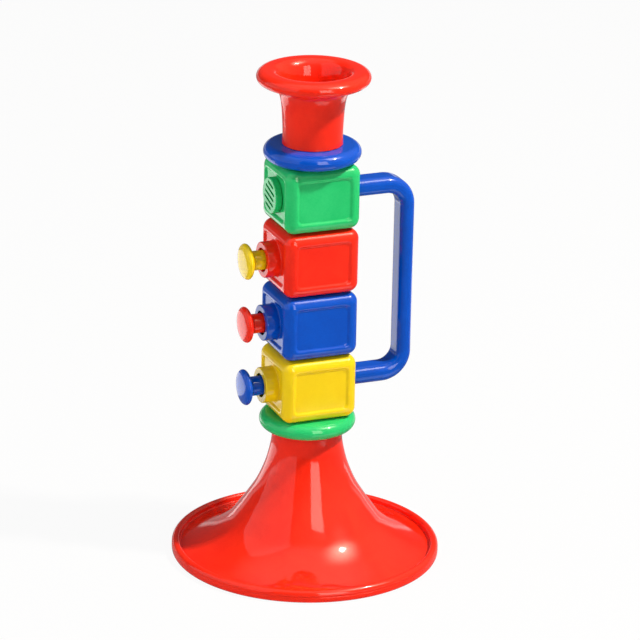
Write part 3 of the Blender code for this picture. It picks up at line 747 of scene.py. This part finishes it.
@dataclass
class Block:
    """A hollow block with a sunk panel in each side and, on its left, a boss or a grille's hole."""
    colour: Colour
    level: float
    has_boss: bool = True
    has_socket: bool = False
    length: float = 41.8 * MM
    width: float = 39.2 * MM
    height: float = 34.9 * MM
    round: float = 5.6 * MM
    wall: float = 2.2 * MM
    inner_wall: float = 3.2 * MM
    room_round: float = 2.0 * MM
    panel_start: float = 5.0 * MM            # the panel's soft wall starts and ends at these margins
    panel_end: float = 7.0 * MM
    panel_depth: float = 1.0 * MM
    panel_corner: float = 8.6 * MM           # radius of the panel's corners, carried out to the side's edge
    panel_rows: int = 12
    hole_radius: float = 10.3 * MM
    opening_margin: float = 7.0 * MM
    opening_corner: float = 2.0 * MM
    grille_hole: float = 8.3 * MM
    socket: Triple = (14.6 * MM, 9.9 * MM, 3.3 * MM)     # across, high, corner
    boss: tuple[Triple, ...] = (             # radius, distance in front of the panel, round, in mm
        (10.3, 0.0, 0.0), (9.6, 0.0, 0.6), (9.6, 7.4, 0.6), (6.4, 7.4, 0.15), (6.4, 3.4, 0.3),
        (5.5, 3.4, 0.1), (5.5, -2.2, 0.0))
    edge_steps: int = 8                      # rows of faces up to the middle of an edge
    room_steps: int = 2
    corner_steps: int = 4                    # columns of faces that meet a panel's corner
    opening_steps: int = 4
    boss_steps: int = 5
    hole_steps: int = 64

    def middle(self) -> float:
        """The height of the block's middle."""
        return self.level + self.height / 2

    def spots(self, side: Side, points: Sequence[Point], out: float) -> list[Vector]:
        """Places flat points on a side.

        Args:
            side: the side of the block.
            points: how far each lies across and up from the side's middle.
            out: the distance of their plane from the block's middle.

        Returns:
            The points in the toy's frame.
        """
        normal = Vector(side.value)
        up = Vector((0, 1, 0)) if side in (Side.TOP, Side.BOTTOM) else Vector((0, 0, 1))
        across = up.cross(normal)
        centre = Vector((0, 0, self.middle())) + normal * out
        return [centre + across * x + up * y for x, y in points]

    @staticmethod
    def extents(side: Side, size: Vector) -> Triple:
        """Half of a box's size from a side's point of view.

        Args:
            side: the side.
            size: how long, wide and high the box is.

        Returns:
            The half across the side, up it, and out along its normal.
        """
        x, y, z = size / 2
        return {Side.LEFT: (y, z, x), Side.RIGHT: (y, z, x), Side.FRONT: (x, z, y), Side.BACK: (x, z, y),
                Side.TOP: (x, y, z), Side.BOTTOM: (x, y, z)}[side]

    def size(self) -> Vector:
        """The block's outer size."""
        return Vector((self.length, self.width, self.height))

    def half(self, side: Side) -> float:
        """The distance from the block's middle to the side's outer face."""
        return self.extents(side, self.size())[2]

    @staticmethod
    def tangents(steps: int) -> list[float]:
        """The tangents of the angles from 0 to 45 degrees, in equal steps."""
        return [math.tan(math.radians(45 * k / steps)) for k in range(steps + 1)]

    def rows(self, half: float, radius: float, steps: int) -> list[float]:
        """Where the rows of faces of a rounded box meet along one direction.

        Args:
            half: half of the box's size in that direction.
            radius: the radius of its edges.
            steps: how many rows an edge takes up to its middle, which is how many places at each
                end lie beyond the flat.

        Returns:
            The places.
        """
        flat = half - radius
        centre = min(self.panel_corner - self.round, flat / 2)
        places = [0.0, (flat - centre) / 2]
        places += [flat - centre * (1 - tangent) for tangent in self.tangents(self.corner_steps)]
        places += [flat + radius * tangent for tangent in self.tangents(steps)[1:]]
        return [-place for place in reversed(places[1:])] + places

    def shell(self, shape: bmesh.types.BMesh, size: Vector, radius: float, steps: int,
              opened: Sequence[Side]) -> dict[Side, Loop]:
        """Adds a box with rounded edges about the block's middle.

        Args:
            shape: what its faces go into.
            size: how long, wide and high it is.
            radius: the radius of its edges.
            steps: how many rows of faces an edge takes up to its middle.
            opened: the sides whose flat part stays open.

        Returns:
            The edge of each open flat.
        """
        corners: dict[tuple[int, ...], bmesh.types.BMVert] = {}
        inner = size / 2 - Vector((radius, radius, radius))
        middle = Vector((0, 0, self.middle()))

        def corner(spot: Vector) -> bmesh.types.BMVert:
            """Moves a point of the sharp box to the rounded one.

            Args:
                spot: the point of the sharp box.

            Returns:
                The point of the rounded box, made once.
            """
            place = spot - middle
            core = Vector([max(-i, min(i, p)) for i, p in zip(inner, place)])
            rounded = middle + core + (place - core).normalized() * radius
            key = tuple(round(value * SPOTS_PER_METRE) for value in rounded)
            if key not in corners:
                corners[key] = shape.verts.new(rounded)
            return corners[key]

        edges: dict[Side, Loop] = {}
        for side in Side:
            across, up, out = self.extents(side, size)
            columns, levels = self.rows(across, radius, steps), self.rows(up, radius, steps)
            grid = [[corner(spot) for spot in self.spots(side, [(u, v) for u in columns], out)]
                    for v in levels]
            last_row, last_column = len(levels) - 1 - steps, len(columns) - 1 - steps
            for j in range(len(levels) - 1):
                for i in range(len(columns) - 1):
                    if side in opened and steps <= j < last_row and steps <= i < last_column:
                        continue
                    shape.faces.new((grid[j][i], grid[j][i + 1], grid[j + 1][i + 1], grid[j + 1][i]))
            if side in opened:
                across_flat, up_flat = range(steps, last_column), range(steps, last_row)
                edges[side] = ([grid[steps][i] for i in across_flat]
                               + [grid[j][last_column] for j in up_flat]
                               + [grid[last_row][i + 1] for i in reversed(across_flat)]
                               + [grid[j + 1][steps] for j in reversed(up_flat)])
        return edges

    def cut_out(self, shape: bmesh.types.BMesh, edge: Loop, side: Side, out: float,
                points: Sequence[Point]) -> Loop:
        """Fills a flat ring from its edge to the outline of a hole.

        Args:
            shape: what the faces go into.
            edge: the ring's edge.
            side: the side that it lies on.
            out: its distance from the block's middle.
            points: the outline of the hole.

        Returns:
            The hole's loop.
        """
        loop = [shape.verts.new(spot) for spot in self.spots(side, points, out)]
        fill_between(shape, edge, loop)
        return loop

    def sunk(self, margin: float) -> float:
        """How deep the panel's soft wall lies at a margin from the side's edge."""
        share = max(0.0, min(1.0, (margin - self.panel_start) / (self.panel_end - self.panel_start)))
        return self.panel_depth * share * share * (3 - 2 * share)

    def sunk_panel(self, shape: bmesh.types.BMesh, side: Side, edge: Loop) -> Loop:
        """Sinks a side's panel, which starts on the rounded edges.

        Args:
            shape: the faces so far.
            side: the side of the block.
            edge: the edge of the side's open flat.

        Returns:
            The edge of the panel's flat floor.
        """
        wide, high, out = self.extents(side, self.size())
        normal, middle = Vector(side.value), Vector((0, 0, self.middle()))
        across, up = (self.spots(side, [way], 0)[0] - middle for way in ((1, 0), (0, 1)))

        def margin_from(place: Vector) -> tuple[Vector, Vector, float]:
            """Measures how far a place lies inside the side's edge.

            Args:
                place: the place, from the block's middle.

            Returns:
                The nearest point of the panel's core, the way out from it, and the margin left.
            """
            flat = Vector((place.dot(across), place.dot(up)))
            core = Vector([max(-limit, min(limit, value)) for value, limit in
                           zip(flat, (wide - self.panel_corner, high - self.panel_corner))])
            return core, (flat - core).normalized(), self.panel_corner - (flat - core).length

        starts = [margin_from(vert.co - middle) for vert in edge]
        for vert in shape.verts:
            place = vert.co - middle
            if place.dot(normal) > out - self.panel_depth:
                vert.co -= normal * self.sunk(margin_from(place)[2])
        loop = edge
        for row in range(1, self.panel_rows + 1):
            following = []
            for core, way, start in starts:
                margin = start + (self.panel_end - start) * row / self.panel_rows
                point = core + way * (self.panel_corner - margin)
                following += [shape.verts.new(spot) for spot in
                              self.spots(side, [tuple(point)], out - self.sunk(margin))]
            loop = join_loops(shape, loop, following)
        return loop

    def left_end(self, shape: bmesh.types.BMesh, floor: Loop) -> tuple[Loop, float]:
        """Makes the boss on the left panel, or the hole that the grille sits in.

        Args:
            shape: the faces so far.
            floor: the edge of the left panel's floor.

        Returns:
            The loop where the hole ends inside, and its radius.
        """
        outline = [(self.grille_hole, 0.0), (self.grille_hole, -self.wall)]
        if self.has_boss:
            outline = softened([(r * MM, out * MM, bend * MM) for r, out, bend in self.boss], self.boss_steps)
        panel = self.half(Side.LEFT) - self.panel_depth
        (radius, out), *others = outline
        loop = self.cut_out(shape, floor, Side.LEFT, panel + out, circle(radius, self.hole_steps))
        for radius, out in others:
            ring = self.spots(Side.LEFT, circle(radius, self.hole_steps), panel + out)
            loop = join_loops(shape, loop, [shape.verts.new(spot) for spot in ring])
        return loop, radius

    def build(self) -> None:
        """Makes the block: its outside first, then its room, then what joins them."""
        shape = bmesh.new()
        edges = self.shell(shape, self.size(), self.round, self.edge_steps, list(Side))
        floors = {side: self.sunk_panel(shape, side, edges[side])
                  for side in (Side.LEFT, Side.RIGHT, Side.FRONT, Side.BACK)}
        outlines = {
            Side.TOP: circle(self.hole_radius, self.hole_steps),
            Side.BOTTOM: rounded_rectangle(self.length - 2 * self.opening_margin,
                                           self.width - 2 * self.opening_margin,
                                           self.opening_corner, self.opening_steps)}
        ends = {side: self.cut_out(shape, edges[side], side, self.half(side), outline)
                for side, outline in outlines.items()}
        ends[Side.LEFT], bore = self.left_end(shape, floors[Side.LEFT])
        outlines[Side.LEFT] = circle(bore, self.hole_steps)
        outlines[Side.RIGHT] = rounded_rectangle(*self.socket)
        if self.has_socket:
            ends[Side.RIGHT] = self.cut_out(shape, floors[Side.RIGHT], Side.RIGHT,
                                            self.half(Side.RIGHT) - self.panel_depth, outlines[Side.RIGHT])
        else:
            shape.faces.new(floors[Side.RIGHT])
        for side in (Side.FRONT, Side.BACK):
            shape.faces.new(floors[side])
        self.add_room(shape, ends, outlines)
        even_normals(add_moulded(self.colour.value + "_block", shape, self.colour, ROUNDED_CREASE))

    def add_room(self, shape: bmesh.types.BMesh, ends: Mapping[Side, Loop],
                 outlines: Mapping[Side, list[Point]]) -> None:
        """Adds the room inside and joins it to the holes.

        Args:
            shape: the faces so far.
            ends: the loop of each hole that goes through a wall.
            outlines: the outline that it has inside.
        """
        size = self.size() - 2 * Vector((self.inner_wall, self.inner_wall, self.wall))
        edges = self.shell(shape, size, self.room_round, self.room_steps, list(ends))
        for side, loop in ends.items():
            inside = self.extents(side, size)[2]
            join_loops(shape, loop, self.cut_out(shape, edges[side], side, inside, outlines[side]))


@dataclass
class Plunger:
    """A plunger with its cap outside, and the coil spring behind it."""
    colour: Colour
    axis: float
    cap_front: float = 38.5 * MM
    cap_back: float = 32.6 * MM
    cap_radius: float = 9.6 * MM
    stem_radius: float = 5.2 * MM
    stem_end: float = 16.2 * MM
    stem_round: float = 0.3 * MM
    pin_radius: float = 3.2 * MM
    pin_end: float = 12.8 * MM
    pin_root_round: float = 0.2 * MM
    pin_round: float = 0.4 * MM
    spring_radius: float = 5.4 * MM
    spring_wire: float = 0.7 * MM
    spring_front: float = 14.2 * MM
    spring_back: float = 5.6 * MM
    spring_curls: int = 4
    spring_ease: float = 0.06                # how far the curls crowd towards the spring's flat ends
    travel: float = 5.0 * MM
    steps: int = 96
    cap_steps: int = 5
    round_steps: int = 7
    curl_steps: int = 32
    wire_steps: int = 12
    cap_shares: tuple[Point, ...] = (        # way from the cap's front to its back, share of its radius
        (0.0, 0.0), (0.01, 0.32), (0.035, 0.60), (0.07, 0.75), (0.14, 0.88), (0.26, 0.965), (0.40, 1.0),
        (0.55, 0.97), (0.66, 0.89), (0.75, 0.76), (0.88, 0.62), (1.0, 0.542))

    def build(self) -> None:
        """Makes the plunger and its spring."""
        thickness = self.cap_front - self.cap_back
        cap = smooth_line([(self.cap_radius * out, self.cap_front - thickness * back)
                           for back, out in self.cap_shares], self.cap_steps)
        stem = softened([(*cap[-1], 0), (self.stem_radius, self.stem_end, self.stem_round),
                         (self.pin_radius, self.stem_end, self.pin_root_round),
                         (self.pin_radius, self.pin_end, self.pin_round), (0.0, self.pin_end, 0)],
                        self.round_steps)
        name = self.colour.value + "_plunger"
        add_moulded(name, turned_shape(cap + stem[1:], self.steps), self.colour, place=along_x(self.axis),
                    body=name)
        self.build_spring(name)

    def build_spring(self, name: str) -> None:
        """Winds the spring, its last half curl at each end lying flat.

        Args:
            name: the plunger that it pushes back.
        """
        wire = self.spring_wire / 2
        front, back = self.spring_front - wire, self.spring_back + wire
        count = self.spring_curls * self.curl_steps
        shape = bmesh.new()
        rings = []
        for i in range(count + 1):
            share = i / count
            eased = share - math.sin(2 * math.pi * share) * self.spring_ease
            angle = 2 * math.pi * i / self.curl_steps
            out = Vector((0, math.cos(angle), math.sin(angle)))
            centre = Vector((-(front + (back - front) * eased), 0, self.axis)) + out * self.spring_radius
            rings.append([shape.verts.new(centre + out * across + Vector((along, 0, 0)))
                          for across, along in circle(wire, self.wire_steps)])
        for first, second in zip(rings, rings[1:]):
            join_loops(shape, first, second)
        for end in (rings[0], rings[-1]):
            shape.faces.new(end)
        mesh = finished_mesh(name + "_spring_dressed", shape, WIRE_CREASE)
        piece = add_piece(mesh, WIRE, BODY, "spring_steel", name + "_spring")
        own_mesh(piece)


@dataclass
class Grille:
    """The round slotted cover on the green block."""
    level: float
    front: float = 23.7 * MM
    shoulder: float = 20.2 * MM
    inner: float = 17.7 * MM
    radius: float = 9.6 * MM
    spigot_radius: float = 8.0 * MM
    bore: float = 6.6 * MM
    face: float = 1.4 * MM
    rim_round: float = 0.55 * MM
    shoulder_round: float = 0.2 * MM
    inner_round: float = 0.3 * MM
    slot_count: int = 5
    slot_pitch: float = 3.2 * MM
    slot_width: float = 1.5 * MM
    slot_clearance: float = 0.6 * MM         # what is left of the bore at the longest slot's ends
    slot_corner: float = 0.49                # share of its width; 0.5 is a full round
    slot_steps: int = 6
    field_radius: float = 8.2 * MM
    turn: float = 15.0           # degrees that the cover sits turned by
    steps: int = 96

    def slot(self, offset: float) -> bpy.types.Object:
        """A cutter for one slot, with round ends.

        Args:
            offset: its height above the middle.

        Returns:
            The cutter.
        """
        length = 2 * math.sqrt(self.field_radius ** 2 - (abs(offset) + self.slot_width / 2) ** 2)
        length = min(length, 2 * self.bore - self.slot_clearance)
        outline = rounded_rectangle(self.slot_width, length, self.slot_width * self.slot_corner,
                                    self.slot_steps)
        shape = bmesh.new()
        loops = [[shape.verts.new((x + offset, y, z)) for x, y in outline]
                 for z in (self.front - 2 * self.face, self.front + self.face)]
        join_loops(shape, *loops)
        for loop in loops:
            shape.faces.new(loop)
        bmesh.ops.recalc_face_normals(shape, faces=shape.faces)
        return linked("slot", as_mesh("slot", shape))

    def build(self) -> None:
        """Makes the cover and cuts its slots."""
        inside, shoulder, inner = self.front - self.face, self.shoulder_round, self.inner_round
        outline = softened([
            (0.0, self.front, 0.0), (self.radius, self.front, self.rim_round),
            (self.radius, self.shoulder, shoulder), (self.spigot_radius, self.shoulder, shoulder),
            (self.spigot_radius, self.inner, inner), (self.bore, self.inner, inner),
            (self.bore, inside, inner), (0.0, inside, 0.0)])
        cover = linked("cover", finished_mesh("cover", turned_shape(outline, self.steps), TURNED_CREASE))
        middle = (self.slot_count - 1) / 2
        cutters = [self.slot((i - middle) * self.slot_pitch) for i in range(self.slot_count)]
        for cutter in cutters:
            cut = cover.modifiers.new("Slot", "BOOLEAN")
            cut.operation = "DIFFERENCE"
            cut.solver = "EXACT"
            cut.object = cutter
        cut_mesh = bpy.data.meshes.new_from_object(cover.evaluated_get(bpy.context.evaluated_depsgraph_get()))
        for helper in (cover, *cutters):
            bpy.data.objects.remove(helper)
        shape = bmesh.new()
        shape.from_mesh(cut_mesh)
        turned = along_x(self.level) @ Matrix.Rotation(math.radians(-self.turn), 4, "Z")
        even_normals(add_moulded("grille", shape, Colour.GREEN, place=turned))


@dataclass
class Handle:
    """The flat U-shaped bar from the green block down to the yellow one."""
    high: float
    low: float
    width: float = 14.0 * MM
    arm: float = 9.3 * MM
    grip: float = 8.0 * MM
    edge: float = 3.8 * MM
    reach: float = 57.0 * MM
    outer_bend: float = 16.2 * MM
    inner_bend: float = 7.8 * MM
    start: float = 14.7 * MM
    bend_points: int = 20
    edge_steps: int = 8

    def lines(self) -> tuple[list[Point], list[Point]]:
        """The handle's outline seen from its side.

        Returns:
            The outer and the inner line, point against point.
        """
        found = []
        for side, reach, bend in ((1, self.reach, self.outer_bend),
                                  (-1, self.reach - self.grip, self.inner_bend)):
            top, bottom = self.high + side * self.arm / 2, self.low - side * self.arm / 2
            found.append([(self.start, top),
                          *arc((reach - bend, top - bend), bend, 90, 0, self.bend_points),
                          *arc((reach - bend, bottom + bend), bend, 0, -90, self.bend_points),
                          (self.start, bottom)])
        outer, inner = found
        return outer, inner

    def build(self) -> None:
        """Makes the handle as one run of rounded sections."""
        outer, inner = self.lines()
        turns = [math.radians(90 * k / self.edge_steps) for k in range(self.edge_steps + 1)]
        quarter = [(self.edge * (1 - math.cos(t)), self.width / 2 - self.edge * (1 - math.sin(t)))
                   for t in turns]
        layers = [*reversed(quarter), *((inset, -y) for inset, y in quarter)]
        outer_lines = [(sideways(outer, inset), y) for inset, y in layers]
        inner_lines = [(sideways(inner, -inset), y) for inset, y in layers]
        around = outer_lines + inner_lines[::-1]
        shape = bmesh.new()
        sections = [[shape.verts.new((line[i][0], y, line[i][1])) for line, y in around]
                    for i in range(len(outer))]
        for first, second in zip(sections, sections[1:]):
            join_loops(shape, first, second)
        for end in (sections[0], sections[-1]):
            shape.faces.new(end)
        even_normals(add_moulded("handle", shape, Colour.BLUE, ROUNDED_CREASE))


@dataclass
class InnerParts:
    """The pieces inside the blocks, whose CAD shapes stay and get their finishes."""
    finishes: dict[str, GrainedFinish] = field(default_factory=lambda: {
        "reed_plate": ACETAL, "reed": BRASS, "reed_rivet": BRASS, "plunger_retainer": ACETAL,
        "plunger_seal": RUBBER})

    def dress(self, nodes: Mapping[str, bpy.types.Object]) -> None:
        """Gives each piece its material.

        Args:
            nodes: the CAD nodes by name.
        """
        for name, node in nodes.items():
            colour, _, kind = name.partition("_")
            finish = PLASTICS[Colour(colour)] if kind == "base_plate" else self.finishes.get(kind)
            if finish is None:
                continue
            node.data.materials.clear()
            node.data.materials.append(dressed(finish))
            shade_smooth(node.data, INNER_CREASE)
            LOG.info("%s: CAD shape, %s", name, finish.name)


@dataclass
class Trumpet:
    """The whole toy."""
    lower_ring_level: float = 72.1 * MM
    upper_ring_level: float = 221.7 * MM
    first_level: float = 80.9 * MM           # of the lowest block
    pitch: float = 35.2 * MM
    order: tuple[Colour, ...] = (Colour.YELLOW, Colour.BLUE, Colour.RED, Colour.GREEN)
    plungers: dict[Colour, Colour] = field(default_factory=lambda: {
        Colour.RED: Colour.YELLOW, Colour.BLUE: Colour.RED, Colour.YELLOW: Colour.BLUE})
    with_handle: tuple[Colour, ...] = (Colour.GREEN, Colour.YELLOW)

    def build(self, nodes: Mapping[str, bpy.types.Object]) -> None:
        """Makes every piece.

        Args:
            nodes: the CAD nodes by name.
        """
        Bell().build()
        Ring("lower_ring", Colour.GREEN, self.lower_ring_level).build()
        Ring("upper_ring", Colour.BLUE, self.upper_ring_level).build()
        Mouthpiece().build()
        middles: dict[Colour, float] = {}
        for place, colour in enumerate(self.order):
            block = Block(colour, self.first_level + place * self.pitch, has_boss=colour in self.plungers,
                          has_socket=colour in self.with_handle)
            block.build()
            middles[colour] = block.middle()
        for block_colour, cap_colour in self.plungers.items():
            Plunger(cap_colour, middles[block_colour]).build()
        Grille(middles[Colour.GREEN]).build()
        Handle(high=middles[Colour.GREEN], low=middles[Colour.YELLOW]).build()
        InnerParts().dress(nodes)


# ---------------------------------------------------------------- studio

@dataclass
class Lamp:
    """A rectangular soft lamp, which the camera doesn't see."""
    name: str
    place: Triple                            # degrees round the object, metres out, metres up
    size: Span
    level: float                             # how bright it looks; 1 is white
    colour: str = WHITE
    aim: Triple | None = None                # the way that it faces; at the object where None
    target: Triple = (0.0, 0.0, 0.12)
    lights: bool = True                      # whether it lights the object
    shows: bool = True                       # whether gloss mirrors it

    def build(self) -> None:
        """Hangs the lamp."""
        light = bpy.data.lights.new(self.name, "AREA")
        light.shape = "RECTANGLE"
        wide, high = self.size
        light.size, light.size_y = wide, high
        light.energy = self.level * math.pi * wide * high
        light.color = linear(self.colour)[:3]
        lamp = linked(self.name, light)
        azimuth, out, up = self.place
        turn = math.radians(azimuth)
        lamp.location = (math.sin(turn) * out, -math.cos(turn) * out, up)
        away = -Vector(self.aim) if self.aim else lamp.location - Vector(self.target)
        lamp.rotation_euler = away.to_track_quat("Z", "Y").to_euler()
        lamp.visible_camera = False
        lamp.visible_diffuse = self.lights
        lamp.visible_glossy = self.shows


LAMPS = (
    # The one hard light, high on the right, gives the small bright sparks and the floor's shadow.
    Lamp("key", (54, 1.08, 1.56), (0.13, 0.13), 800.0, "#FFF8F0"),
    # The tall window in front is brighter as gloss mirrors it than as it lights.
    Lamp("window", (3, 1.5, 0.83), (0.66, 1.45), 8.0, "#FFF2E6", aim=(0, 1, 0), lights=False),
    Lamp("front_fill", (3, 1.5, 0.83), (0.66, 1.45), 4.3, aim=(0, 1, 0), shows=False),
    Lamp("left_wall", (-92, 1.4, 1.4), (2.4, 2.8), 1.15, aim=(1, 0, 0)),
    # Gloss low on the object mirrors the cards on the floor, and two of them throw light up.
    Lamp("left_card", (-155.1, 0.452, 0.001), (0.30, 0.42), 1.9, aim=(0, 0, 1)),
    Lamp("front_card", (22, 0.165, 0.001), (0.17, 0.14), 1.9, aim=(0, 0, 1), lights=False),
    Lamp("right_card", (121, 0.43, 0.001), (0.16, 0.26), 1.6, aim=(0, 0, 1)),
)


@dataclass
class Studio:
    """A plain pale floor, soft light and the camera at the photograph's viewing angle."""
    azimuth: float = -22.319235
    elevation: float = 20.494069
    roll: float = 1.175037
    distance: float = 2.176353
    lens: float = 231.708
    sensor: float = 36.0
    target: Triple = (0.005345, -0.002194, 0.131944)
    clip_end: float = 100.0
    floor_size: float = 12.0
    floor_grid: int = 8
    floor_drop: float = 0.1 * MM             # keeps the floor from meeting the foot's flat
    floor_colour: str = "#D0D0CE"
    floor_roughness: float = 0.9
    floor_gloss: float = 0.1
    white_share: float = 0.94                # how much plain white the camera sees in the floor
    mirrored_level: float = 0.42             # how bright gloss sees the floor
    room_colour: str = "#E8EEF6"
    room_level: float = 0.15
    backdrop_level: float = 1.0
    backdrop_sides: Span = (0.15, 0.35)      # how far back it starts and is whole; 1 is straight behind
    backdrop_tops: Span = (0.05, 0.09)       # up to where it is whole, and where it ends; 1 is straight up
    ceiling_level: float = 1.0
    ceiling_edges: Span = (0.78, 0.92)       # how high it starts and is whole; 1 is straight up
    halo_way: Triple = (0.454, -0.315, 0.834)            # towards the key lamp
    halo_colour: str = "#FFECD4"
    halos: tuple[Triple, ...] = (            # degrees to where it ends, level, how peaked it is
        (27.0, 22.0, 4.5), (72.0, 1.2, 1.0))

    def add_camera(self) -> None:
        """Stands the camera where the photograph was taken from."""
        azimuth, elevation, roll = (math.radians(v) for v in (self.azimuth, self.elevation, self.roll))
        back = Vector((math.sin(azimuth) * math.cos(elevation), -math.cos(azimuth) * math.cos(elevation),
                       math.sin(elevation)))
        right = Vector((math.cos(azimuth), math.sin(azimuth), 0))
        up = back.cross(right)
        rolled_right = right * math.cos(roll) + up * math.sin(roll)
        rolled_up = up * math.cos(roll) - right * math.sin(roll)
        data = bpy.data.cameras.new("camera")
        data.lens = self.lens
        data.sensor_width = self.sensor
        data.sensor_fit = "HORIZONTAL"
        data.clip_end = self.clip_end
        camera = linked("camera", data)
        turn = Matrix((rolled_right, rolled_up, back)).transposed().to_4x4()
        camera.matrix_world = Matrix.Translation(Vector(self.target) + back * self.distance) @ turn
        bpy.context.scene.camera = camera

    def plain_share(self, tree: bpy.types.NodeTree, rays: bpy.types.Node) -> bpy.types.Node:
        """Works out the share of a plain tone in the floor for each kind of ray that looks at it.

        Args:
            tree: the node tree of the floor's material.
            rays: its Light Path node.

        Returns:
            The node whose first output is the share.
        """
        share = add_node(tree, "ShaderNodeMath", {0: rays.outputs["Is Camera Ray"], 1: self.white_share},
                         operation="MULTIPLY")
        for kind in ("Is Glossy Ray", "Is Transmission Ray"):
            share = add_node(tree, "ShaderNodeMath", {0: share, 1: rays.outputs[kind]}, operation="MAXIMUM")
        return share

    def add_floor(self) -> None:
        """Lays the floor: pale, with a share of white for the camera and a plain grey for gloss."""
        shape = bmesh.new()
        bmesh.ops.create_grid(shape, x_segments=self.floor_grid, y_segments=self.floor_grid,
                              size=self.floor_size / 2)
        bmesh.ops.translate(shape, vec=(0, 0, -self.floor_drop), verts=shape.verts)
        floor = linked("floor", as_mesh("floor", shape))
        material, tree, shader = blank_material("pale_studio_floor")
        shader.inputs["Base Color"].default_value = linear(self.floor_colour)
        shader.inputs["Roughness"].default_value = self.floor_roughness
        shader.inputs["Specular IOR Level"].default_value = self.floor_gloss
        rays = add_node(tree, "ShaderNodeLightPath")
        level = add_node(tree, "ShaderNodeMapRange", {
            "Value": rays.outputs["Is Camera Ray"], "To Min": self.mirrored_level, "To Max": 1.0})
        plain = add_node(tree, "ShaderNodeEmission", {"Color": linear(WHITE), "Strength": level})
        mix = add_node(tree, "ShaderNodeMixShader", {0: self.plain_share(tree, rays), 1: shader, 2: plain})
        tree.links.new(mix.outputs[0], tree.nodes["Material Output"].inputs["Surface"])
        floor.data.materials.append(material)

    @staticmethod
    def glow(colour: str, level: float) -> list[float]:
        """A colour of light at a level, in linear light with an alpha of 1."""
        return [level * value for value in linear(colour)[:3]] + [1.0]

    def add_world(self) -> None:
        """Fills the room with dim even light, with a low white backdrop behind the object.

        The camera sees white all round. Gloss sees the backdrop, which ends just above the floor, the
        pale ceiling, and the halo of the key lamp's soft cover, bright close in and faint farther out.
        """
        world = bpy.data.worlds.new("studio")
        world.use_nodes = True
        tree = world.node_tree
        background = tree.nodes["Background"]
        background.inputs["Strength"].default_value = 1.0
        place = add_node(tree, "ShaderNodeTexCoord").outputs["Generated"]
        way = add_node(tree, "ShaderNodeSeparateXYZ", {0: place})
        zones = ((1, self.backdrop_sides, 0.0, self.backdrop_level), (2, self.backdrop_tops, 1.0, 0.0),
                 (2, self.ceiling_edges, 0.0, self.ceiling_level))
        behind, low, ceiling = (
            add_node(tree, "ShaderNodeMapRange", {"Value": way.outputs[axis], "From Min": start,
                                                  "From Max": end, "To Min": first, "To Max": last})
            for axis, (start, end), first, last in zones)
        rays = add_node(tree, "ShaderNodeLightPath")
        mirrored = rays.outputs["Is Glossy Ray"]
        seen = behind
        for operation, other in (("MULTIPLY", low), ("MAXIMUM", ceiling), ("MULTIPLY", mirrored),
                                 ("MAXIMUM", rays.outputs["Is Camera Ray"])):
            seen = add_node(tree, "ShaderNodeMath", {0: seen, 1: other}, operation=operation)
        lit = add_node(tree, "ShaderNodeMix", {
            0: seen, 6: self.glow(self.room_colour, self.room_level), 7: linear(WHITE)}, data_type="RGBA")
        near = add_node(tree, "ShaderNodeVectorMath", {0: place, 1: self.halo_way}, operation="DOT_PRODUCT")
        for reach, level, peak in self.halos:
            halo = add_node(tree, "ShaderNodeMapRange", {
                "Value": near.outputs["Value"], "From Min": math.cos(math.radians(reach)), "From Max": 1.0})
            peaked = add_node(tree, "ShaderNodeMath", {0: halo, 1: peak}, operation="POWER")
            share = add_node(tree, "ShaderNodeMath", {0: peaked, 1: mirrored}, operation="MULTIPLY")
            lit = add_node(tree, "ShaderNodeMix", {
                0: share, 6: lit.outputs[2], 7: self.glow(self.halo_colour, level)},
                data_type="RGBA", blend_type="ADD")
        tree.links.new(lit.outputs[2], background.inputs["Color"])
        bpy.context.scene.world = world

    def build(self) -> None:
        """Sets up the camera, the floor and the light."""
        bpy.context.scene.view_settings.view_transform = "Standard"
        self.add_camera()
        self.add_floor()
        self.add_world()
        for lamp in LAMPS:
            lamp.build()


def main() -> None:
    """Builds the trumpet and its studio."""
    logging.basicConfig(level=logging.INFO, format="%(name)s: %(message)s")
    Trumpet().build(frame["nodes"])
    Studio().build()


if __name__ == "__main__":
    main()
